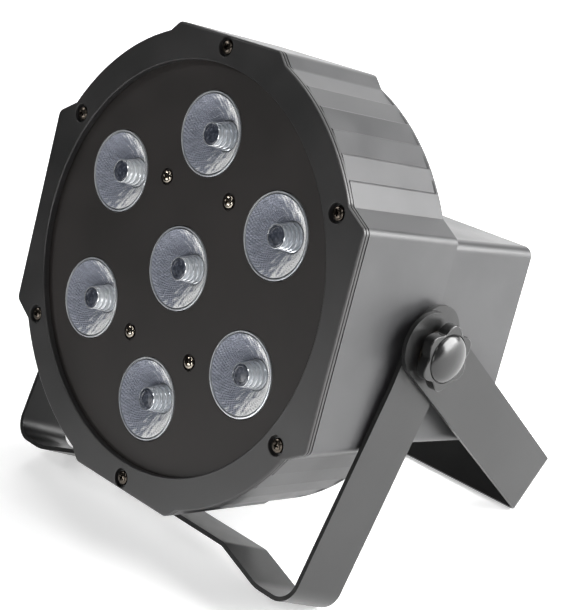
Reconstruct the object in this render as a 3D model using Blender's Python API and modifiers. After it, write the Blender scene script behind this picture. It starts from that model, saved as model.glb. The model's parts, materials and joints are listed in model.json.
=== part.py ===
"""A flat LED par can on two strap brackets, as separate parts.

The can's own frame has its origin at the centre of the bezel's front face: x to the right, y to the
rear and z to the top. The root empty tips that frame back until the brackets' feet stand on z = 0.
Lengths are in millimetres here, and MM turns them into metres as the meshes are made.
"""

from math import acos, atan2, cos, pi, radians, sin, sqrt

import bmesh
import bpy
from mathutils import Euler, Matrix, Vector

MM = 0.001

# Front outline: a circle with four flat lobes
ROUND_RADIUS = 105.8
TOP_HALF = 104.0
SIDE_HALF = 102.5
TOP_FLAT_HALF = 32.5
SIDE_FLAT_HALF = 47.0
TOP_FLANK_HALF = 37.6
SIDE_FLANK_HALF = 53.6
LOBE_CORNER = 4.0
ARC_STEPS = 7

# Bezel and panel
BEZEL_THICK = 3.2
BEZEL_OPENING = 91.6
BEZEL_SINK = 2.3
BEZEL_SINK_RADIUS = 4.3
PANEL_FRONT = 3.5
PANEL_THICK = 2.0
PANEL_INSET = 3.3
PANEL_SINK = 1.4
PANEL_SINK_RADIUS = 4.1

# Screws: (head radius, head height, length), and where they stand
SCREW_SHANK = 1.45
SCREW_HOLE = 1.8
BEZEL_SCREW = (3.7, 1.9, 12.0)
PANEL_SCREW = (3.4, 2.1, 20.5)
REAR_SCREW = (3.2, 2.0, 11.0)
BEZEL_SCREW_CIRCLE = 99.0
BEZEL_SCREW_ANGLES = tuple(range(90, 450, 60))
PANEL_SCREW_CIRCLE = 42.0
PANEL_SCREW_ANGLES = (60, 120, 240, 300)
REAR_SCREW_X = 91.5
REAR_SCREW_Z = (-36.5, 36.8)

# Lenses, their holders, the LED board and the heatsink
LENS_CIRCLE = 61.1
LENS_RADIUS = 18.7
LENS_HOLE = 19.1
LENS_FRONT = 3.2
LENS_DEPTH = 15.8
HOLDER_RADIUS = 20.4
HOLDER_MOUTH = 8.2
BOARD_FRONT = 21.3
BOARD_THICK = 1.6
BOARD_RADIUS = 90.0
EMITTER_HALF = 2.6
EMITTER_HEIGHT = 3.0
SINK_FRONT = 23.2
SINK_BASE = 4.0
SINK_REAR = 44.0
SINK_HALF_X = 70.0
SINK_HALF_Z = 55.0
FIN_COUNT = 9
FIN_THICK = 3.0

# Housing: a round shell, then a box
WALL = 2.5
GAP = 0.3
SHELL_FRONT = 3.6
SHELL_REAR = 62.6
SHELL_DRAFT = 0.982
BOX_HALF = 100.6
BOX_TOP = 46.1
BOX_BOTTOM = -45.8
BOX_REAR = 116.5
BOX_CORNER = 5.0
BOX_START = 40.0
BOSS_RADIUS = 5.0
BOSS_REAR = 22.0
BOSS_BORE_REAR = 17.0
BOSS_CIRCLE = 98.2
POST_RADIUS = 8.0
POST_FRONT = 92.0
POST_BORE_FRONT = 100.0
VENT_COUNT = 5
VENT_PITCH = 34.0
VENT_HALF = 12.0
VENT_FRONT = 67.0
VENT_REAR = 70.0
CLEAR = 2.0  # how far a cutter runs past the wall that it cuts

# Pivot: ears, washers, clamp knob
PIVOT_Y = 55.9
PIVOT_Z = -0.5
STUD_RADIUS = 4.0
STUD_HOLE = 4.5
SPACER_IN = 101.2
SPACER_RADIUS = 9.0
PIVOT_BOSS_RADIUS = 10.0
PIVOT_BOSS_IN = 87.5
PIVOT_BORE_RADIUS = 7.0
INSERT_RADIUS = 6.6
STUD_IN = 84.0
STRAP_THICK = 2.0
FRONT_EAR_OUT = 106.6
REAR_EAR_OUT = 108.9
WASHER_THICK = 1.2
WASHER_RADIUS = 10.5
KNOB_BASE = 110.7
KNOB_LOBE_RADIUS = 14.6
KNOB_VALLEY_RADIUS = 11.8
KNOB_THICK = 5.8
KNOB_DOME_RADIUS = 10.6
KNOB_DOME_HEIGHT = 4.2
KNOB_LOBES = 6
KNOB_BORE_DEPTH = 4.3

# Strap brackets, measured along the strap from the pivot
STRAP_WIDTH = 29.2
EAR_BEYOND = 5.7
FRONT_TILT = -12.0
FRONT_FOOT = 122.5
FRONT_BAR = 114.6
FRONT_LEG_START = 20.0
FRONT_LEG_LEAN = 5.3
FRONT_FOOT_IN = 80.0
FRONT_BAR_BEND = 54.0
REAR_TILT = 57.2
REAR_LENGTH = 120.5
FRONT_FILLETS = (30.0, 10.0, 22.0, 7.0)
REAR_FILLETS = (3.0,)
CLAMP_HOLE = 5.25

# Rear panel and its fittings: AT is the x and z of a centre, HALF half its width and height
PANEL_REAR = 116.1
REAR_PANEL_THICK = 2.5
REAR_PANEL_CORNER = 2.2
INLET_AT = (-76.0, -15.0)
INLET_HALF = (13.4, 10.6)
INLET_FLANGE_HALF = (16.0, 13.0)
INLET_SOCKET_HALF = (12.0, 8.5)
INLET_DEPTH = 20.0
FUSE_AT = (-76.0, 13.5)
FUSE_HALF = (9.0, 5.0)
FUSE_LIP_HALF = (11.0, 6.5)
DMX_IN_AT = (-38.0, -6.0)
DMX_OUT_AT = (-6.0, -6.0)
DMX_RADIUS = 11.6
DMX_HOLE_RADIUS = 12.0
DMX_BORE_RADIUS = 9.5
DMX_PLATE_HALF = (13.0, 15.5)
SOCKET_DEPTH = 14.0
CONTACT_RADIUS = 1.3
CONTACT_CIRCLE = 3.8
LATCH_LOW = 8.3
LATCH_HIGH = 10.9
LATCH_HALF = 3.0
WINDOW_AT = (56.0, 27.0)
WINDOW_HALF = (20.0, 8.0)
BUTTON_COUNT = 4
BUTTON_Z = 10.0
BUTTON_PITCH = 13.0
BUTTON_RADIUS = 3.4
BUTTON_HOLE = 3.8
BUTTON_FLANGE = 4.6
BUTTON_TRAVEL = 0.8

# Fan, centred behind its slots
FAN_AT = (56.0, -22.0)
FAN_HALF = 17.0
FAN_OPENING = 16.0
FAN_DEPTH = 10.0
FAN_HUB_RADIUS = 6.0
FAN_BLADES = 5
FAN_SLOTS = 5
FAN_SLOT_PITCH = 5.6
FAN_SLOT_HALF = 1.5
FAN_SLOT_REACH = 15.5

PARTS = None
CUTTERS = None
ROOT = None
MATERIALS = {}


def clear_scene():
    for obj in list(bpy.data.objects):
        bpy.data.objects.remove(obj, do_unlink=True)


def new_collection(name):
    collection = bpy.data.collections.new(name)
    bpy.context.scene.collection.children.link(collection)
    return collection


def material(name, color, roughness, metallic=0.0):
    if name not in MATERIALS:
        made = bpy.data.materials.new(name)
        made.use_nodes = True
        shader = made.node_tree.nodes["Principled BSDF"]
        shader.inputs["Base Color"].default_value = (*color, 1.0)
        shader.inputs["Roughness"].default_value = roughness
        shader.inputs["Metallic"].default_value = metallic
        made.diffuse_color = (*color, 1.0)
        MATERIALS[name] = made
    return MATERIALS[name]


def black_plastic():
    return material("black_plastic", (0.028, 0.027, 0.027), 0.45)


def panel_black():
    return material("panel_black", (0.016, 0.014, 0.014), 0.6)


def strap_paint():
    return material("strap_paint", (0.03, 0.03, 0.03), 0.4, 0.3)


def knob_plastic():
    return material("knob_plastic", (0.02, 0.02, 0.02), 0.35)


def bezel_screw_steel():
    return material("bronzed_steel", (0.12, 0.1, 0.08), 0.35, 1.0)


def nickel():
    return material("nickel", (0.6, 0.55, 0.45), 0.25, 1.0)


def clear_lens():
    return material("clear_lens", (0.75, 0.8, 0.9), 0.08)


def aluminium():
    return material("aluminium", (0.6, 0.6, 0.62), 0.4, 1.0)


def brass():
    return material("brass", (0.6, 0.45, 0.2), 0.35, 1.0)


def circuit_green():
    return material("circuit_board", (0.03, 0.12, 0.05), 0.5)


def place(obj, parent=None, location=(0, 0, 0), rotation=(0, 0, 0)):
    obj.parent = parent or ROOT
    obj.location = Vector(location) * MM
    obj.rotation_euler = rotation
    return obj


def mesh_object(name, mesh, paint=None):
    """A part when it has a material, and otherwise a cutter."""
    obj = bpy.data.objects.new(name, mesh)
    (PARTS if paint else CUTTERS).objects.link(obj)
    if paint:
        obj.data.materials.append(paint)
    else:
        obj.hide_render = True
        obj.display_type = "WIRE"
    return obj


def smooth(obj, angle=35):
    obj.data.shade_smooth()
    obj.data.set_sharp_from_angle(angle=radians(angle))
    return obj


def plate_mesh(name, loops, thick):
    """Flat outlines, the first the outside and the rest holes, extruded from z = 0 to z = thick."""
    curve = bpy.data.curves.new(name, "CURVE")
    curve.dimensions = "2D"
    curve.fill_mode = "BOTH"
    curve.extrude = thick * MM / 2
    for loop in loops:
        spline = curve.splines.new("POLY")
        spline.points.add(len(loop) - 1)
        for point, (x, y) in zip(spline.points, loop):
            point.co = (x * MM, y * MM, 0, 1)
        spline.use_cyclic_u = True
    guide = bpy.data.objects.new(name + "_outline", curve)
    bpy.context.scene.collection.objects.link(guide)
    graph = bpy.context.evaluated_depsgraph_get()
    mesh = bpy.data.meshes.new_from_object(guide.evaluated_get(graph))
    bpy.data.objects.remove(guide, do_unlink=True)
    shaped = bmesh.new()
    shaped.from_mesh(mesh)
    bmesh.ops.remove_doubles(shaped, verts=shaped.verts, dist=1e-6)
    bmesh.ops.translate(shaped, verts=shaped.verts, vec=(0, 0, thick * MM / 2))
    bmesh.ops.recalc_face_normals(shaped, faces=shaped.faces)
    shaped.to_mesh(mesh)
    shaped.free()
    mesh.name = name
    return mesh


def facing_rear(mesh):
    """Turns a plate drawn in x and z, extruded along its z, so that it is extruded along y."""
    mesh.transform(Matrix(((1, 0, 0, 0), (0, 0, 1, 0), (0, 1, 0, 0), (0, 0, 0, 1))))
    mesh.flip_normals()
    return mesh


def facing_side(mesh, side=1):
    """Turns a shape whose axis is z so that its axis is x, pointing out on the given side."""
    mesh.transform(Matrix.Rotation(side * pi / 2, 4, "Y"))
    return mesh


def circle(radius, steps, centre=(0, 0)):
    return [
        (centre[0] + radius * cos(2 * pi * i / steps), centre[1] + radius * sin(2 * pi * i / steps))
        for i in range(steps)
    ]


def cylinder_mesh(name, radius, low, high, steps=20):
    """A cylinder along z."""
    shaped = bmesh.new()
    bmesh.ops.create_cone(
        shaped, cap_ends=True, segments=steps, radius1=radius * MM, radius2=radius * MM,
        depth=(high - low) * MM, matrix=Matrix.Translation((0, 0, (low + high) / 2 * MM)),
    )
    mesh = bpy.data.meshes.new(name)
    shaped.to_mesh(mesh)
    shaped.free()
    return mesh


def box_mesh(name, low, high):
    shaped = bmesh.new()
    size = [(b - a) * MM for a, b in zip(low, high)]
    middle = [(a + b) / 2 * MM for a, b in zip(low, high)]
    stretched = Matrix.Translation(middle) @ Matrix.Diagonal((*size, 1))
    bmesh.ops.create_cube(shaped, size=1, matrix=stretched)
    mesh = bpy.data.meshes.new(name)
    shaped.to_mesh(mesh)
    shaped.free()
    return mesh


def block(name, centre, half, front, rear):
    """A box about a centre in x and z, with its half width and half height, from front to rear."""
    (x, z), (across, up) = centre, half
    return box_mesh(name, (x - across, front, z - up), (x + across, rear, z + up))


def along_y(mesh):
    """Turns a shape whose axis is z so that it points to the rear."""
    mesh.transform(Matrix.Rotation(-pi / 2, 4, "X"))
    return mesh


def rod(name, radius, front, rear, steps=8):
    """A cylinder along y."""
    return along_y(cylinder_mesh(name, radius, front, rear, steps))


def around(radius, angle):
    """The x and z of a point on a circle about the can's axis."""
    return radius * cos(radians(angle)), radius * sin(radians(angle))


def bezel_screw_places():
    return [around(BEZEL_SCREW_CIRCLE, angle) for angle in BEZEL_SCREW_ANGLES]


def panel_screw_places():
    return [around(PANEL_SCREW_CIRCLE, angle) for angle in PANEL_SCREW_ANGLES]


def rear_screw_places():
    return [(x, z) for x in (-REAR_SCREW_X, REAR_SCREW_X) for z in REAR_SCREW_Z]


def lens_centres():
    return [around(LENS_CIRCLE, angle) for angle in BEZEL_SCREW_ANGLES] + [(0, 0)]


def button_x(index):
    return WINDOW_AT[0] + (index - (BUTTON_COUNT - 1) / 2) * BUTTON_PITCH


def turned(name, profile, steps, paint=None, closed=False):
    """A profile of (radius, height) turned about z. It runs from top to bottom on its outer side."""
    mesh = bpy.data.meshes.new(name)
    count = len(profile)
    edges = [(i, i + 1) for i in range(count - 1)]
    if closed:
        edges.append((count - 1, 0))
    mesh.from_pydata([(r * MM, 0, z * MM) for r, z in profile], edges, [])
    obj = mesh_object(name, mesh, paint)
    screw = obj.modifiers.new("Turn", "SCREW")
    screw.axis = "Z"
    screw.steps = steps
    screw.render_steps = steps
    screw.use_merge_vertices = True
    screw.merge_threshold = 0.00001
    return obj


def baked(obj):
    """Applies the modifiers, so that the mesh can be turned or shared."""
    graph = bpy.context.evaluated_depsgraph_get()
    mesh = bpy.data.meshes.new_from_object(obj.evaluated_get(graph))
    obj.modifiers.clear()
    obj.data = mesh
    return obj


def boolean(obj, other, operation):
    modifier = obj.modifiers.new(operation.title(), "BOOLEAN")
    modifier.operation = operation
    modifier.object = other
    modifier.solver = "EXACT"
    other.parent = obj.parent
    return obj


def cut(obj, name, mesh, **where):
    cutter = mesh_object(name, mesh)
    boolean(obj, cutter, "DIFFERENCE")
    place(cutter, obj.parent, **where)
    return obj


def join(obj, name, mesh, **where):
    piece = mesh_object(name, mesh)
    boolean(obj, piece, "UNION")
    place(piece, obj.parent, **where)
    return obj


def rounded_corner(before, corner, after, radius, steps=3):
    """The points of a fillet at a corner."""
    corner = Vector(corner)
    back = (Vector(before) - corner).normalized()
    ahead = (Vector(after) - corner).normalized()
    half = acos(max(-1.0, min(1.0, back.dot(ahead)))) / 2
    reach = radius / sin(half) * cos(half)
    centre = corner + (back + ahead).normalized() * (radius / sin(half))
    start = corner + back * reach - centre
    end = corner + ahead * reach - centre
    first = atan2(start.y, start.x)
    turn = (atan2(end.y, end.x) - first + pi) % (2 * pi) - pi
    return [
        tuple(centre + Vector((cos(first + turn * i / steps), sin(first + turn * i / steps))) * radius)
        for i in range(steps + 1)
    ]


def lobed_outline(inset=0.0):
    """The can's outline seen from the front, anticlockwise from the right lobe."""
    radius = ROUND_RADIUS - inset
    side = SIDE_HALF - inset
    top = TOP_HALF - inset
    side_flank = SIDE_FLANK_HALF - inset / 2
    top_flank = TOP_FLANK_HALF - inset / 2
    side_kink = (sqrt(radius**2 - side_flank**2), side_flank)
    top_kink = (top_flank, sqrt(radius**2 - top_flank**2))
    side_corner = (side, SIDE_FLAT_HALF - inset / 2)
    top_corner = (TOP_FLAT_HALF - inset / 2, top)
    rounding = max(LOBE_CORNER - inset / 2, 1.0)
    quarter = rounded_corner((side, 0), side_corner, side_kink, rounding)
    first = atan2(side_kink[1], side_kink[0])
    last = atan2(top_kink[1], top_kink[0])
    for index in range(ARC_STEPS + 1):
        angle = first + (last - first) * index / ARC_STEPS
        quarter.append((radius * cos(angle), radius * sin(angle)))
    quarter += rounded_corner(top_kink, top_corner, (0, top), rounding)
    upper = quarter + [(-x, z) for x, z in reversed(quarter)]
    return upper + [(-x, -z) for x, z in upper]


def make_bezel():
    outlines = [lobed_outline(), circle(BEZEL_OPENING, 48)]
    mesh = facing_rear(plate_mesh("front_bezel", outlines, BEZEL_THICK))
    bezel = place(mesh_object("front_bezel", mesh, black_plastic()))
    for index, (x, z) in enumerate(bezel_screw_places()):
        sink = rod("bezel_sink", BEZEL_SINK_RADIUS, -CLEAR, BEZEL_SINK, 12)
        cut(bezel, f"bezel_sink_{index + 1}", sink, location=(x, 0, z))
        hole = rod("bezel_hole", SCREW_HOLE, -CLEAR, BEZEL_THICK + CLEAR)
        cut(bezel, f"bezel_hole_{index + 1}", hole, location=(x, 0, z))


def screw_mesh(head_radius, head_height, length):
    """A pan head screw along y, its head's underside at y = 0 and its shank to the rear."""
    profile = [
        (0, length), (SCREW_SHANK, length), (SCREW_SHANK, 0), (head_radius, 0),
        (head_radius, -head_height * 0.55), (head_radius * 0.72, -head_height), (0, -head_height),
    ]
    shaped = baked(turned("screw", profile, 8))
    mesh = shaped.data
    bpy.data.objects.remove(shaped, do_unlink=True)
    return along_y(mesh)


def make_screws():
    shared = screw_mesh(*BEZEL_SCREW)
    for index, (x, z) in enumerate(bezel_screw_places()):
        screw = mesh_object(f"bezel_screw_{index + 1}", shared.copy(), bezel_screw_steel())
        place(smooth(screw), location=(x, BEZEL_SINK - GAP, z))
    shared = screw_mesh(*PANEL_SCREW)
    for index, (x, z) in enumerate(panel_screw_places()):
        screw = mesh_object(f"panel_screw_{index + 1}", shared.copy(), nickel())
        place(smooth(screw), location=(x, PANEL_FRONT + PANEL_SINK - GAP, z))
    shared = screw_mesh(*REAR_SCREW)
    shared.transform(Matrix.Rotation(pi, 4, "Z"))
    for index, (x, z) in enumerate(rear_screw_places()):
        screw = mesh_object(f"rear_screw_{index + 1}", shared.copy(), bezel_screw_steel())
        place(smooth(screw), location=(x, PANEL_REAR + GAP, z))


def make_panel():
    holes = [circle(LENS_HOLE, 20, centre) for centre in lens_centres()]
    holes += [circle(SCREW_HOLE, 8, centre) for centre in bezel_screw_places() + panel_screw_places()]
    mesh = facing_rear(plate_mesh("lens_panel", [lobed_outline(PANEL_INSET), *holes], PANEL_THICK))
    panel = place(mesh_object("lens_panel", mesh, panel_black()), location=(0, PANEL_FRONT, 0))
    for index, (x, z) in enumerate(panel_screw_places()):
        sink = rod("panel_sink", PANEL_SINK_RADIUS, -CLEAR, PANEL_SINK, 10)
        cut(panel, f"panel_sink_{index + 1}", sink, location=(x, PANEL_FRONT, z))


def lens_profile():
    """A lens with a well for the emitter behind and a dimple in its front."""
    rear = LENS_FRONT + LENS_DEPTH
    return [
        (0, rear - 3.8), (3.8, rear - 3.5), (4.2, rear), (7.5, rear), (LENS_RADIUS, LENS_FRONT + 2),
        (LENS_RADIUS, LENS_FRONT), (4.0, LENS_FRONT), (3.6, LENS_FRONT + 4.3), (0, LENS_FRONT + 4.8),
    ]


def holder_profile():
    """A cup round a lens, open at both ends."""
    front = PANEL_FRONT + PANEL_THICK + GAP
    rear = BOARD_FRONT - GAP
    return [
        (HOLDER_MOUTH, rear), (HOLDER_RADIUS, rear), (HOLDER_RADIUS, front),
        (HOLDER_RADIUS - 1.1, front), (HOLDER_MOUTH, rear - 1.4),
    ]


def make_lenses():
    for index, (x, z) in enumerate(lens_centres()):
        lens = baked(turned(f"lens_{index + 1}", lens_profile(), 20, clear_lens()))
        along_y(lens.data)
        place(smooth(lens, 25), location=(x, 0, z))
        name = f"lens_holder_{index + 1}"
        holder = baked(turned(name, holder_profile(), 16, panel_black(), closed=True))
        along_y(holder.data)
        place(smooth(holder, 25), location=(x, 0, z))


def make_led_board():
    holes = [circle(SCREW_HOLE, 8, centre) for centre in panel_screw_places()]
    mesh = facing_rear(plate_mesh("led_board", [circle(BOARD_RADIUS, 40), *holes], BOARD_THICK))
    board = place(mesh_object("led_board", mesh, circuit_green()), location=(0, BOARD_FRONT, 0))
    half = (EMITTER_HALF, EMITTER_HALF)
    for index, (x, z) in enumerate(lens_centres()):
        emitter = block("emitter", (0, 0), half, BOARD_FRONT - EMITTER_HEIGHT, BOARD_FRONT + 0.5)
        join(board, f"emitter_{index + 1}", emitter, location=(x, 0, z))


def make_heatsink():
    """A comb of fins, drawn in x and y and extruded upwards."""
    pitch = (2 * SINK_HALF_X - FIN_THICK) / (FIN_COUNT - 1)
    base = SINK_FRONT + SINK_BASE
    comb = [(-SINK_HALF_X, SINK_FRONT), (SINK_HALF_X, SINK_FRONT)]
    for index in reversed(range(FIN_COUNT)):
        left = -SINK_HALF_X + index * pitch
        comb += [(left + FIN_THICK, SINK_REAR), (left, SINK_REAR)]
        if index:
            comb += [(left, base), (left - pitch + FIN_THICK, base)]
    mesh = plate_mesh("heatsink", [comb], 2 * SINK_HALF_Z)
    mesh.transform(Matrix.Translation((0, 0, -SINK_HALF_Z * MM)))
    sink = place(mesh_object("heatsink", mesh, aluminium()))
    for index, (x, z) in enumerate(panel_screw_places()):
        hole = rod("sink_hole", SCREW_HOLE, SINK_FRONT - 1, base - 0.6)
        cut(sink, f"sink_hole_{index + 1}", hole, location=(x, 0, z))


def rounded_box_outline(half, low, high, radius):
    corners = [(half, low), (half, high), (-half, high), (-half, low)]
    points = []
    for index, corner in enumerate(corners):
        points += rounded_corner(corners[index - 1], corner, corners[(index + 1) % 4], radius)
    return points


def drafted(mesh):
    """Shrinks a shell towards its rear, as a moulded shell does."""
    for vertex in mesh.vertices:
        share = (vertex.co.y / MM - SHELL_FRONT) / (SHELL_REAR - SHELL_FRONT)
        scale = 1 + (SHELL_DRAFT - 1) * share
        vertex.co.x *= scale
        vertex.co.z *= scale
    return mesh


def shell_block(name, inset, front, rear):
    mesh = facing_rear(plate_mesh(name, [lobed_outline(inset)], rear - front))
    mesh.transform(Matrix.Translation((0, front * MM, 0)))
    return drafted(mesh)


def box_block(name, inset, front, rear, corner=None):
    radius = BOX_CORNER - inset if corner is None else corner
    outline = rounded_box_outline(BOX_HALF - inset, BOX_BOTTOM + inset, BOX_TOP - inset, radius)
    mesh = facing_rear(plate_mesh(name, [outline], rear - front))
    mesh.transform(Matrix.Translation((0, front * MM, 0)))
    return mesh


def add_bosses(housing):
    """Six bosses inside the shell take the bezel's screws, and four posts the rear panel's."""
    front = PANEL_FRONT + PANEL_THICK + 0.5
    for index, angle in enumerate(BEZEL_SCREW_ANGLES):
        x, z = around(BOSS_CIRCLE, angle)
        boss = rod("boss", BOSS_RADIUS, front, BOSS_REAR, 12)
        join(housing, f"boss_{index + 1}", boss, location=(x, 0, z))
    for index, (x, z) in enumerate(bezel_screw_places()):
        bore = rod("boss_bore", SCREW_HOLE, 0, BOSS_BORE_REAR)
        cut(housing, f"boss_bore_{index + 1}", bore, location=(x, 0, z))
    rear = PANEL_REAR - REAR_PANEL_THICK - GAP
    for index, (x, z) in enumerate(rear_screw_places()):
        post = rod("post", POST_RADIUS, POST_FRONT, rear, 12)
        join(housing, f"post_{index + 1}", post, location=(x, 0, z))
        bore = rod("post_bore", SCREW_HOLE, POST_BORE_FRONT, BOX_REAR)
        cut(housing, f"post_bore_{index + 1}", bore, location=(x, 0, z))


def add_pivot_bosses(housing):
    pivot = (0, PIVOT_Y, PIVOT_Z)
    for word, side in (("left", -1), ("right", 1)):
        boss = cylinder_mesh("pivot_boss", PIVOT_BOSS_RADIUS, PIVOT_BOSS_IN, BOX_HALF - 0.6, 16)
        join(housing, f"pivot_boss_{word}", facing_side(boss, side), location=pivot)
        bore = cylinder_mesh("pivot_bore", PIVOT_BORE_RADIUS, STUD_IN - 4, BOX_HALF + 9, 16)
        cut(housing, f"pivot_bore_{word}", facing_side(bore, side), location=pivot)


def make_housing():
    mesh = shell_block("main_housing", 0.0, SHELL_FRONT, SHELL_REAR)
    housing = place(mesh_object("main_housing", mesh, black_plastic()))
    join(housing, "box_outside", box_block("box_outside", 0.0, BOX_START, BOX_REAR))
    inside = shell_block("shell_inside", WALL, SHELL_FRONT - CLEAR, SHELL_REAR - WALL)
    cut(housing, "shell_inside", inside)
    inside = box_block("box_inside", WALL, SHELL_REAR - 12, BOX_REAR + CLEAR)
    cut(housing, "box_inside", inside)
    add_bosses(housing)
    add_pivot_bosses(housing)
    for index in range(VENT_COUNT):
        x = (index - (VENT_COUNT - 1) / 2) * VENT_PITCH
        low = (x - VENT_HALF, VENT_FRONT, BOX_TOP - 2 * WALL)
        high = (x + VENT_HALF, VENT_REAR, BOX_TOP + CLEAR)
        cut(housing, f"vent_{index + 1}", box_mesh("vent", low, high))


def make_rear_panel():
    front = PANEL_REAR - REAR_PANEL_THICK
    mesh = box_block("rear_panel", WALL + GAP, front, PANEL_REAR, REAR_PANEL_CORNER)
    panel = place(mesh_object("rear_panel", mesh, strap_paint()))

    def window(name, centre, half, margin):
        wider = (half[0] + margin, half[1] + margin)
        cut(panel, name, block(name, centre, wider, front - CLEAR, PANEL_REAR + CLEAR))

    def hole(name, centre, radius, steps):
        shape = rod(name, radius, front - CLEAR, PANEL_REAR + CLEAR, steps)
        cut(panel, name, shape, location=(centre[0], 0, centre[1]))

    window("inlet_window", INLET_AT, INLET_HALF, 0.4)
    window("fuse_window", FUSE_AT, FUSE_HALF, GAP)
    window("display_cut", WINDOW_AT, WINDOW_HALF, GAP)
    hole("dmx_in_hole", DMX_IN_AT, DMX_HOLE_RADIUS, 24)
    hole("dmx_out_hole", DMX_OUT_AT, DMX_HOLE_RADIUS, 24)
    for index in range(BUTTON_COUNT):
        hole(f"button_hole_{index + 1}", (button_x(index), BUTTON_Z), BUTTON_HOLE, 14)
    for index in range(FAN_SLOTS):
        offset = (index - (FAN_SLOTS - 1) / 2) * FAN_SLOT_PITCH
        reach = sqrt(FAN_SLOT_REACH**2 - offset**2)
        window(f"fan_slot_{index + 1}", (FAN_AT[0] + offset, FAN_AT[1]), (FAN_SLOT_HALF, reach), 0)
    for index, centre in enumerate(rear_screw_places()):
        hole(f"rear_hole_{index + 1}", centre, SCREW_HOLE, 8)


def make_display():
    window = block("display_window", WINDOW_AT, WINDOW_HALF, PANEL_REAR - 2.2, PANEL_REAR + 0.2)
    place(mesh_object("display_window", window, clear_lens()))
    x, z = WINDOW_AT
    front = PANEL_REAR - 9.6
    mesh = box_mesh("control_board", (x - 26, front, 1), (x + 26, front + BOARD_THICK, z + 11))
    board = place(mesh_object("control_board", mesh, circuit_green()))
    half = (WINDOW_HALF[0] - 2, WINDOW_HALF[1] - 1)
    display = block("display_block", WINDOW_AT, half, front + 1.2, PANEL_REAR - REAR_PANEL_THICK - GAP)
    join(board, "display_block", display)
    rest = PANEL_REAR - 3.8 - BUTTON_TRAVEL - 0.4
    for index in range(BUTTON_COUNT):
        switch = block("switch_block", (button_x(index), BUTTON_Z), (3, 3), front + 1.2, rest)
        join(board, f"switch_block_{index + 1}", switch)


def make_buttons():
    """Round caps that stand out of the rear panel, each kept in by a flange behind it."""
    top = PANEL_REAR + 2.0
    shoulder = PANEL_REAR - 3.0
    foot = PANEL_REAR - 3.8
    profile = [
        (0, top), (BUTTON_RADIUS - 0.5, top), (BUTTON_RADIUS, top - 0.5), (BUTTON_RADIUS, shoulder),
        (BUTTON_FLANGE, shoulder), (BUTTON_FLANGE, foot), (0, foot),
    ]
    for index in range(BUTTON_COUNT):
        cap = baked(turned(f"menu_button_{index + 1}", profile, 10, knob_plastic()))
        along_y(cap.data)
        place(smooth(cap), location=(button_x(index), 0, BUTTON_Z))


def make_driver_board():
    """The board on the floor of the box, with a transformer, a heat tab and three capacitors."""
    low = BOX_BOTTOM + WALL + 3.0
    top = low + 1.2
    mesh = box_mesh("driver_board", (-80, 68, low), (30, 100, low + BOARD_THICK))
    driver = place(mesh_object("driver_board", mesh, circuit_green()))
    join(driver, "transformer", box_mesh("transformer", (-66, 72, top), (-38, 96, top + 26)))
    join(driver, "heat_tab", box_mesh("heat_tab", (-30, 74, top), (-26, 94, top + 22)))
    for index, x in enumerate((-12, 6, 20)):
        can = cylinder_mesh("capacitor", 6.0, top, top + 22 - 4 * index, 12)
        join(driver, f"capacitor_{index + 1}", can, location=(x, 84, 0))


def make_power_inlet():
    lip = PANEL_REAR + 2.5
    body = block("power_inlet", INLET_AT, INLET_HALF, PANEL_REAR - INLET_DEPTH, PANEL_REAR + 1)
    inlet = place(mesh_object("power_inlet", body, knob_plastic()))
    flange = block("inlet_flange", INLET_AT, INLET_FLANGE_HALF, PANEL_REAR + GAP, lip)
    join(inlet, "inlet_flange", flange)
    socket = block("inlet_socket", INLET_AT, INLET_SOCKET_HALF, PANEL_REAR - SOCKET_DEPTH, lip + CLEAR)
    cut(inlet, "inlet_socket", socket)


def make_fuse_drawer():
    body = block("fuse_drawer", FUSE_AT, FUSE_HALF, PANEL_REAR - 18, PANEL_REAR + 1)
    drawer = place(mesh_object("fuse_drawer", body, knob_plastic()))
    lip = block("fuse_lip", FUSE_AT, FUSE_LIP_HALF, PANEL_REAR + GAP, PANEL_REAR + 2.2)
    join(drawer, "fuse_lip", lip)


def dmx_socket(word, centre):
    """The round body and the plate that both three-pin sockets share."""
    body = rod(f"dmx_{word}", DMX_RADIUS, PANEL_REAR - 18, PANEL_REAR + 1, 24)
    socket = mesh_object(f"dmx_{word}", body, knob_plastic())
    place(socket, location=(centre[0], 0, centre[1]))
    plate = block("dmx_plate", centre, DMX_PLATE_HALF, PANEL_REAR + GAP, PANEL_REAR + 2)
    return join(socket, f"dmx_{word}_plate", plate)


def make_dmx_sockets():
    rear = PANEL_REAR + 2 + CLEAR
    socket = dmx_socket("in", DMX_IN_AT)
    bore = rod("dmx_bore", DMX_BORE_RADIUS, PANEL_REAR - SOCKET_DEPTH, rear, 20)
    cut(socket, "dmx_in_bore", bore, location=(DMX_IN_AT[0], 0, DMX_IN_AT[1]))

    socket = dmx_socket("out", DMX_OUT_AT)
    x, z = DMX_OUT_AT
    for index in range(3):
        across, up = around(CONTACT_CIRCLE, 90 + 120 * index)
        hole = rod("contact", CONTACT_RADIUS, PANEL_REAR - 8, rear)
        cut(socket, f"contact_{index + 1}", hole, location=(x + across, 0, z + up))
    low, high = z + LATCH_LOW, z + LATCH_HIGH
    wide = LATCH_HALF + GAP
    slot = box_mesh("slot", (x - wide, PANEL_REAR - 5, low - GAP), (x + wide, rear, high + GAP))
    cut(socket, "latch_slot", slot)
    front, rear = PANEL_REAR - 3.0, PANEL_REAR + 3.4
    tab = box_mesh("dmx_latch", (x - LATCH_HALF, front, low), (x + LATCH_HALF, rear, high))
    place(mesh_object("dmx_latch", tab, nickel()))


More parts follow.
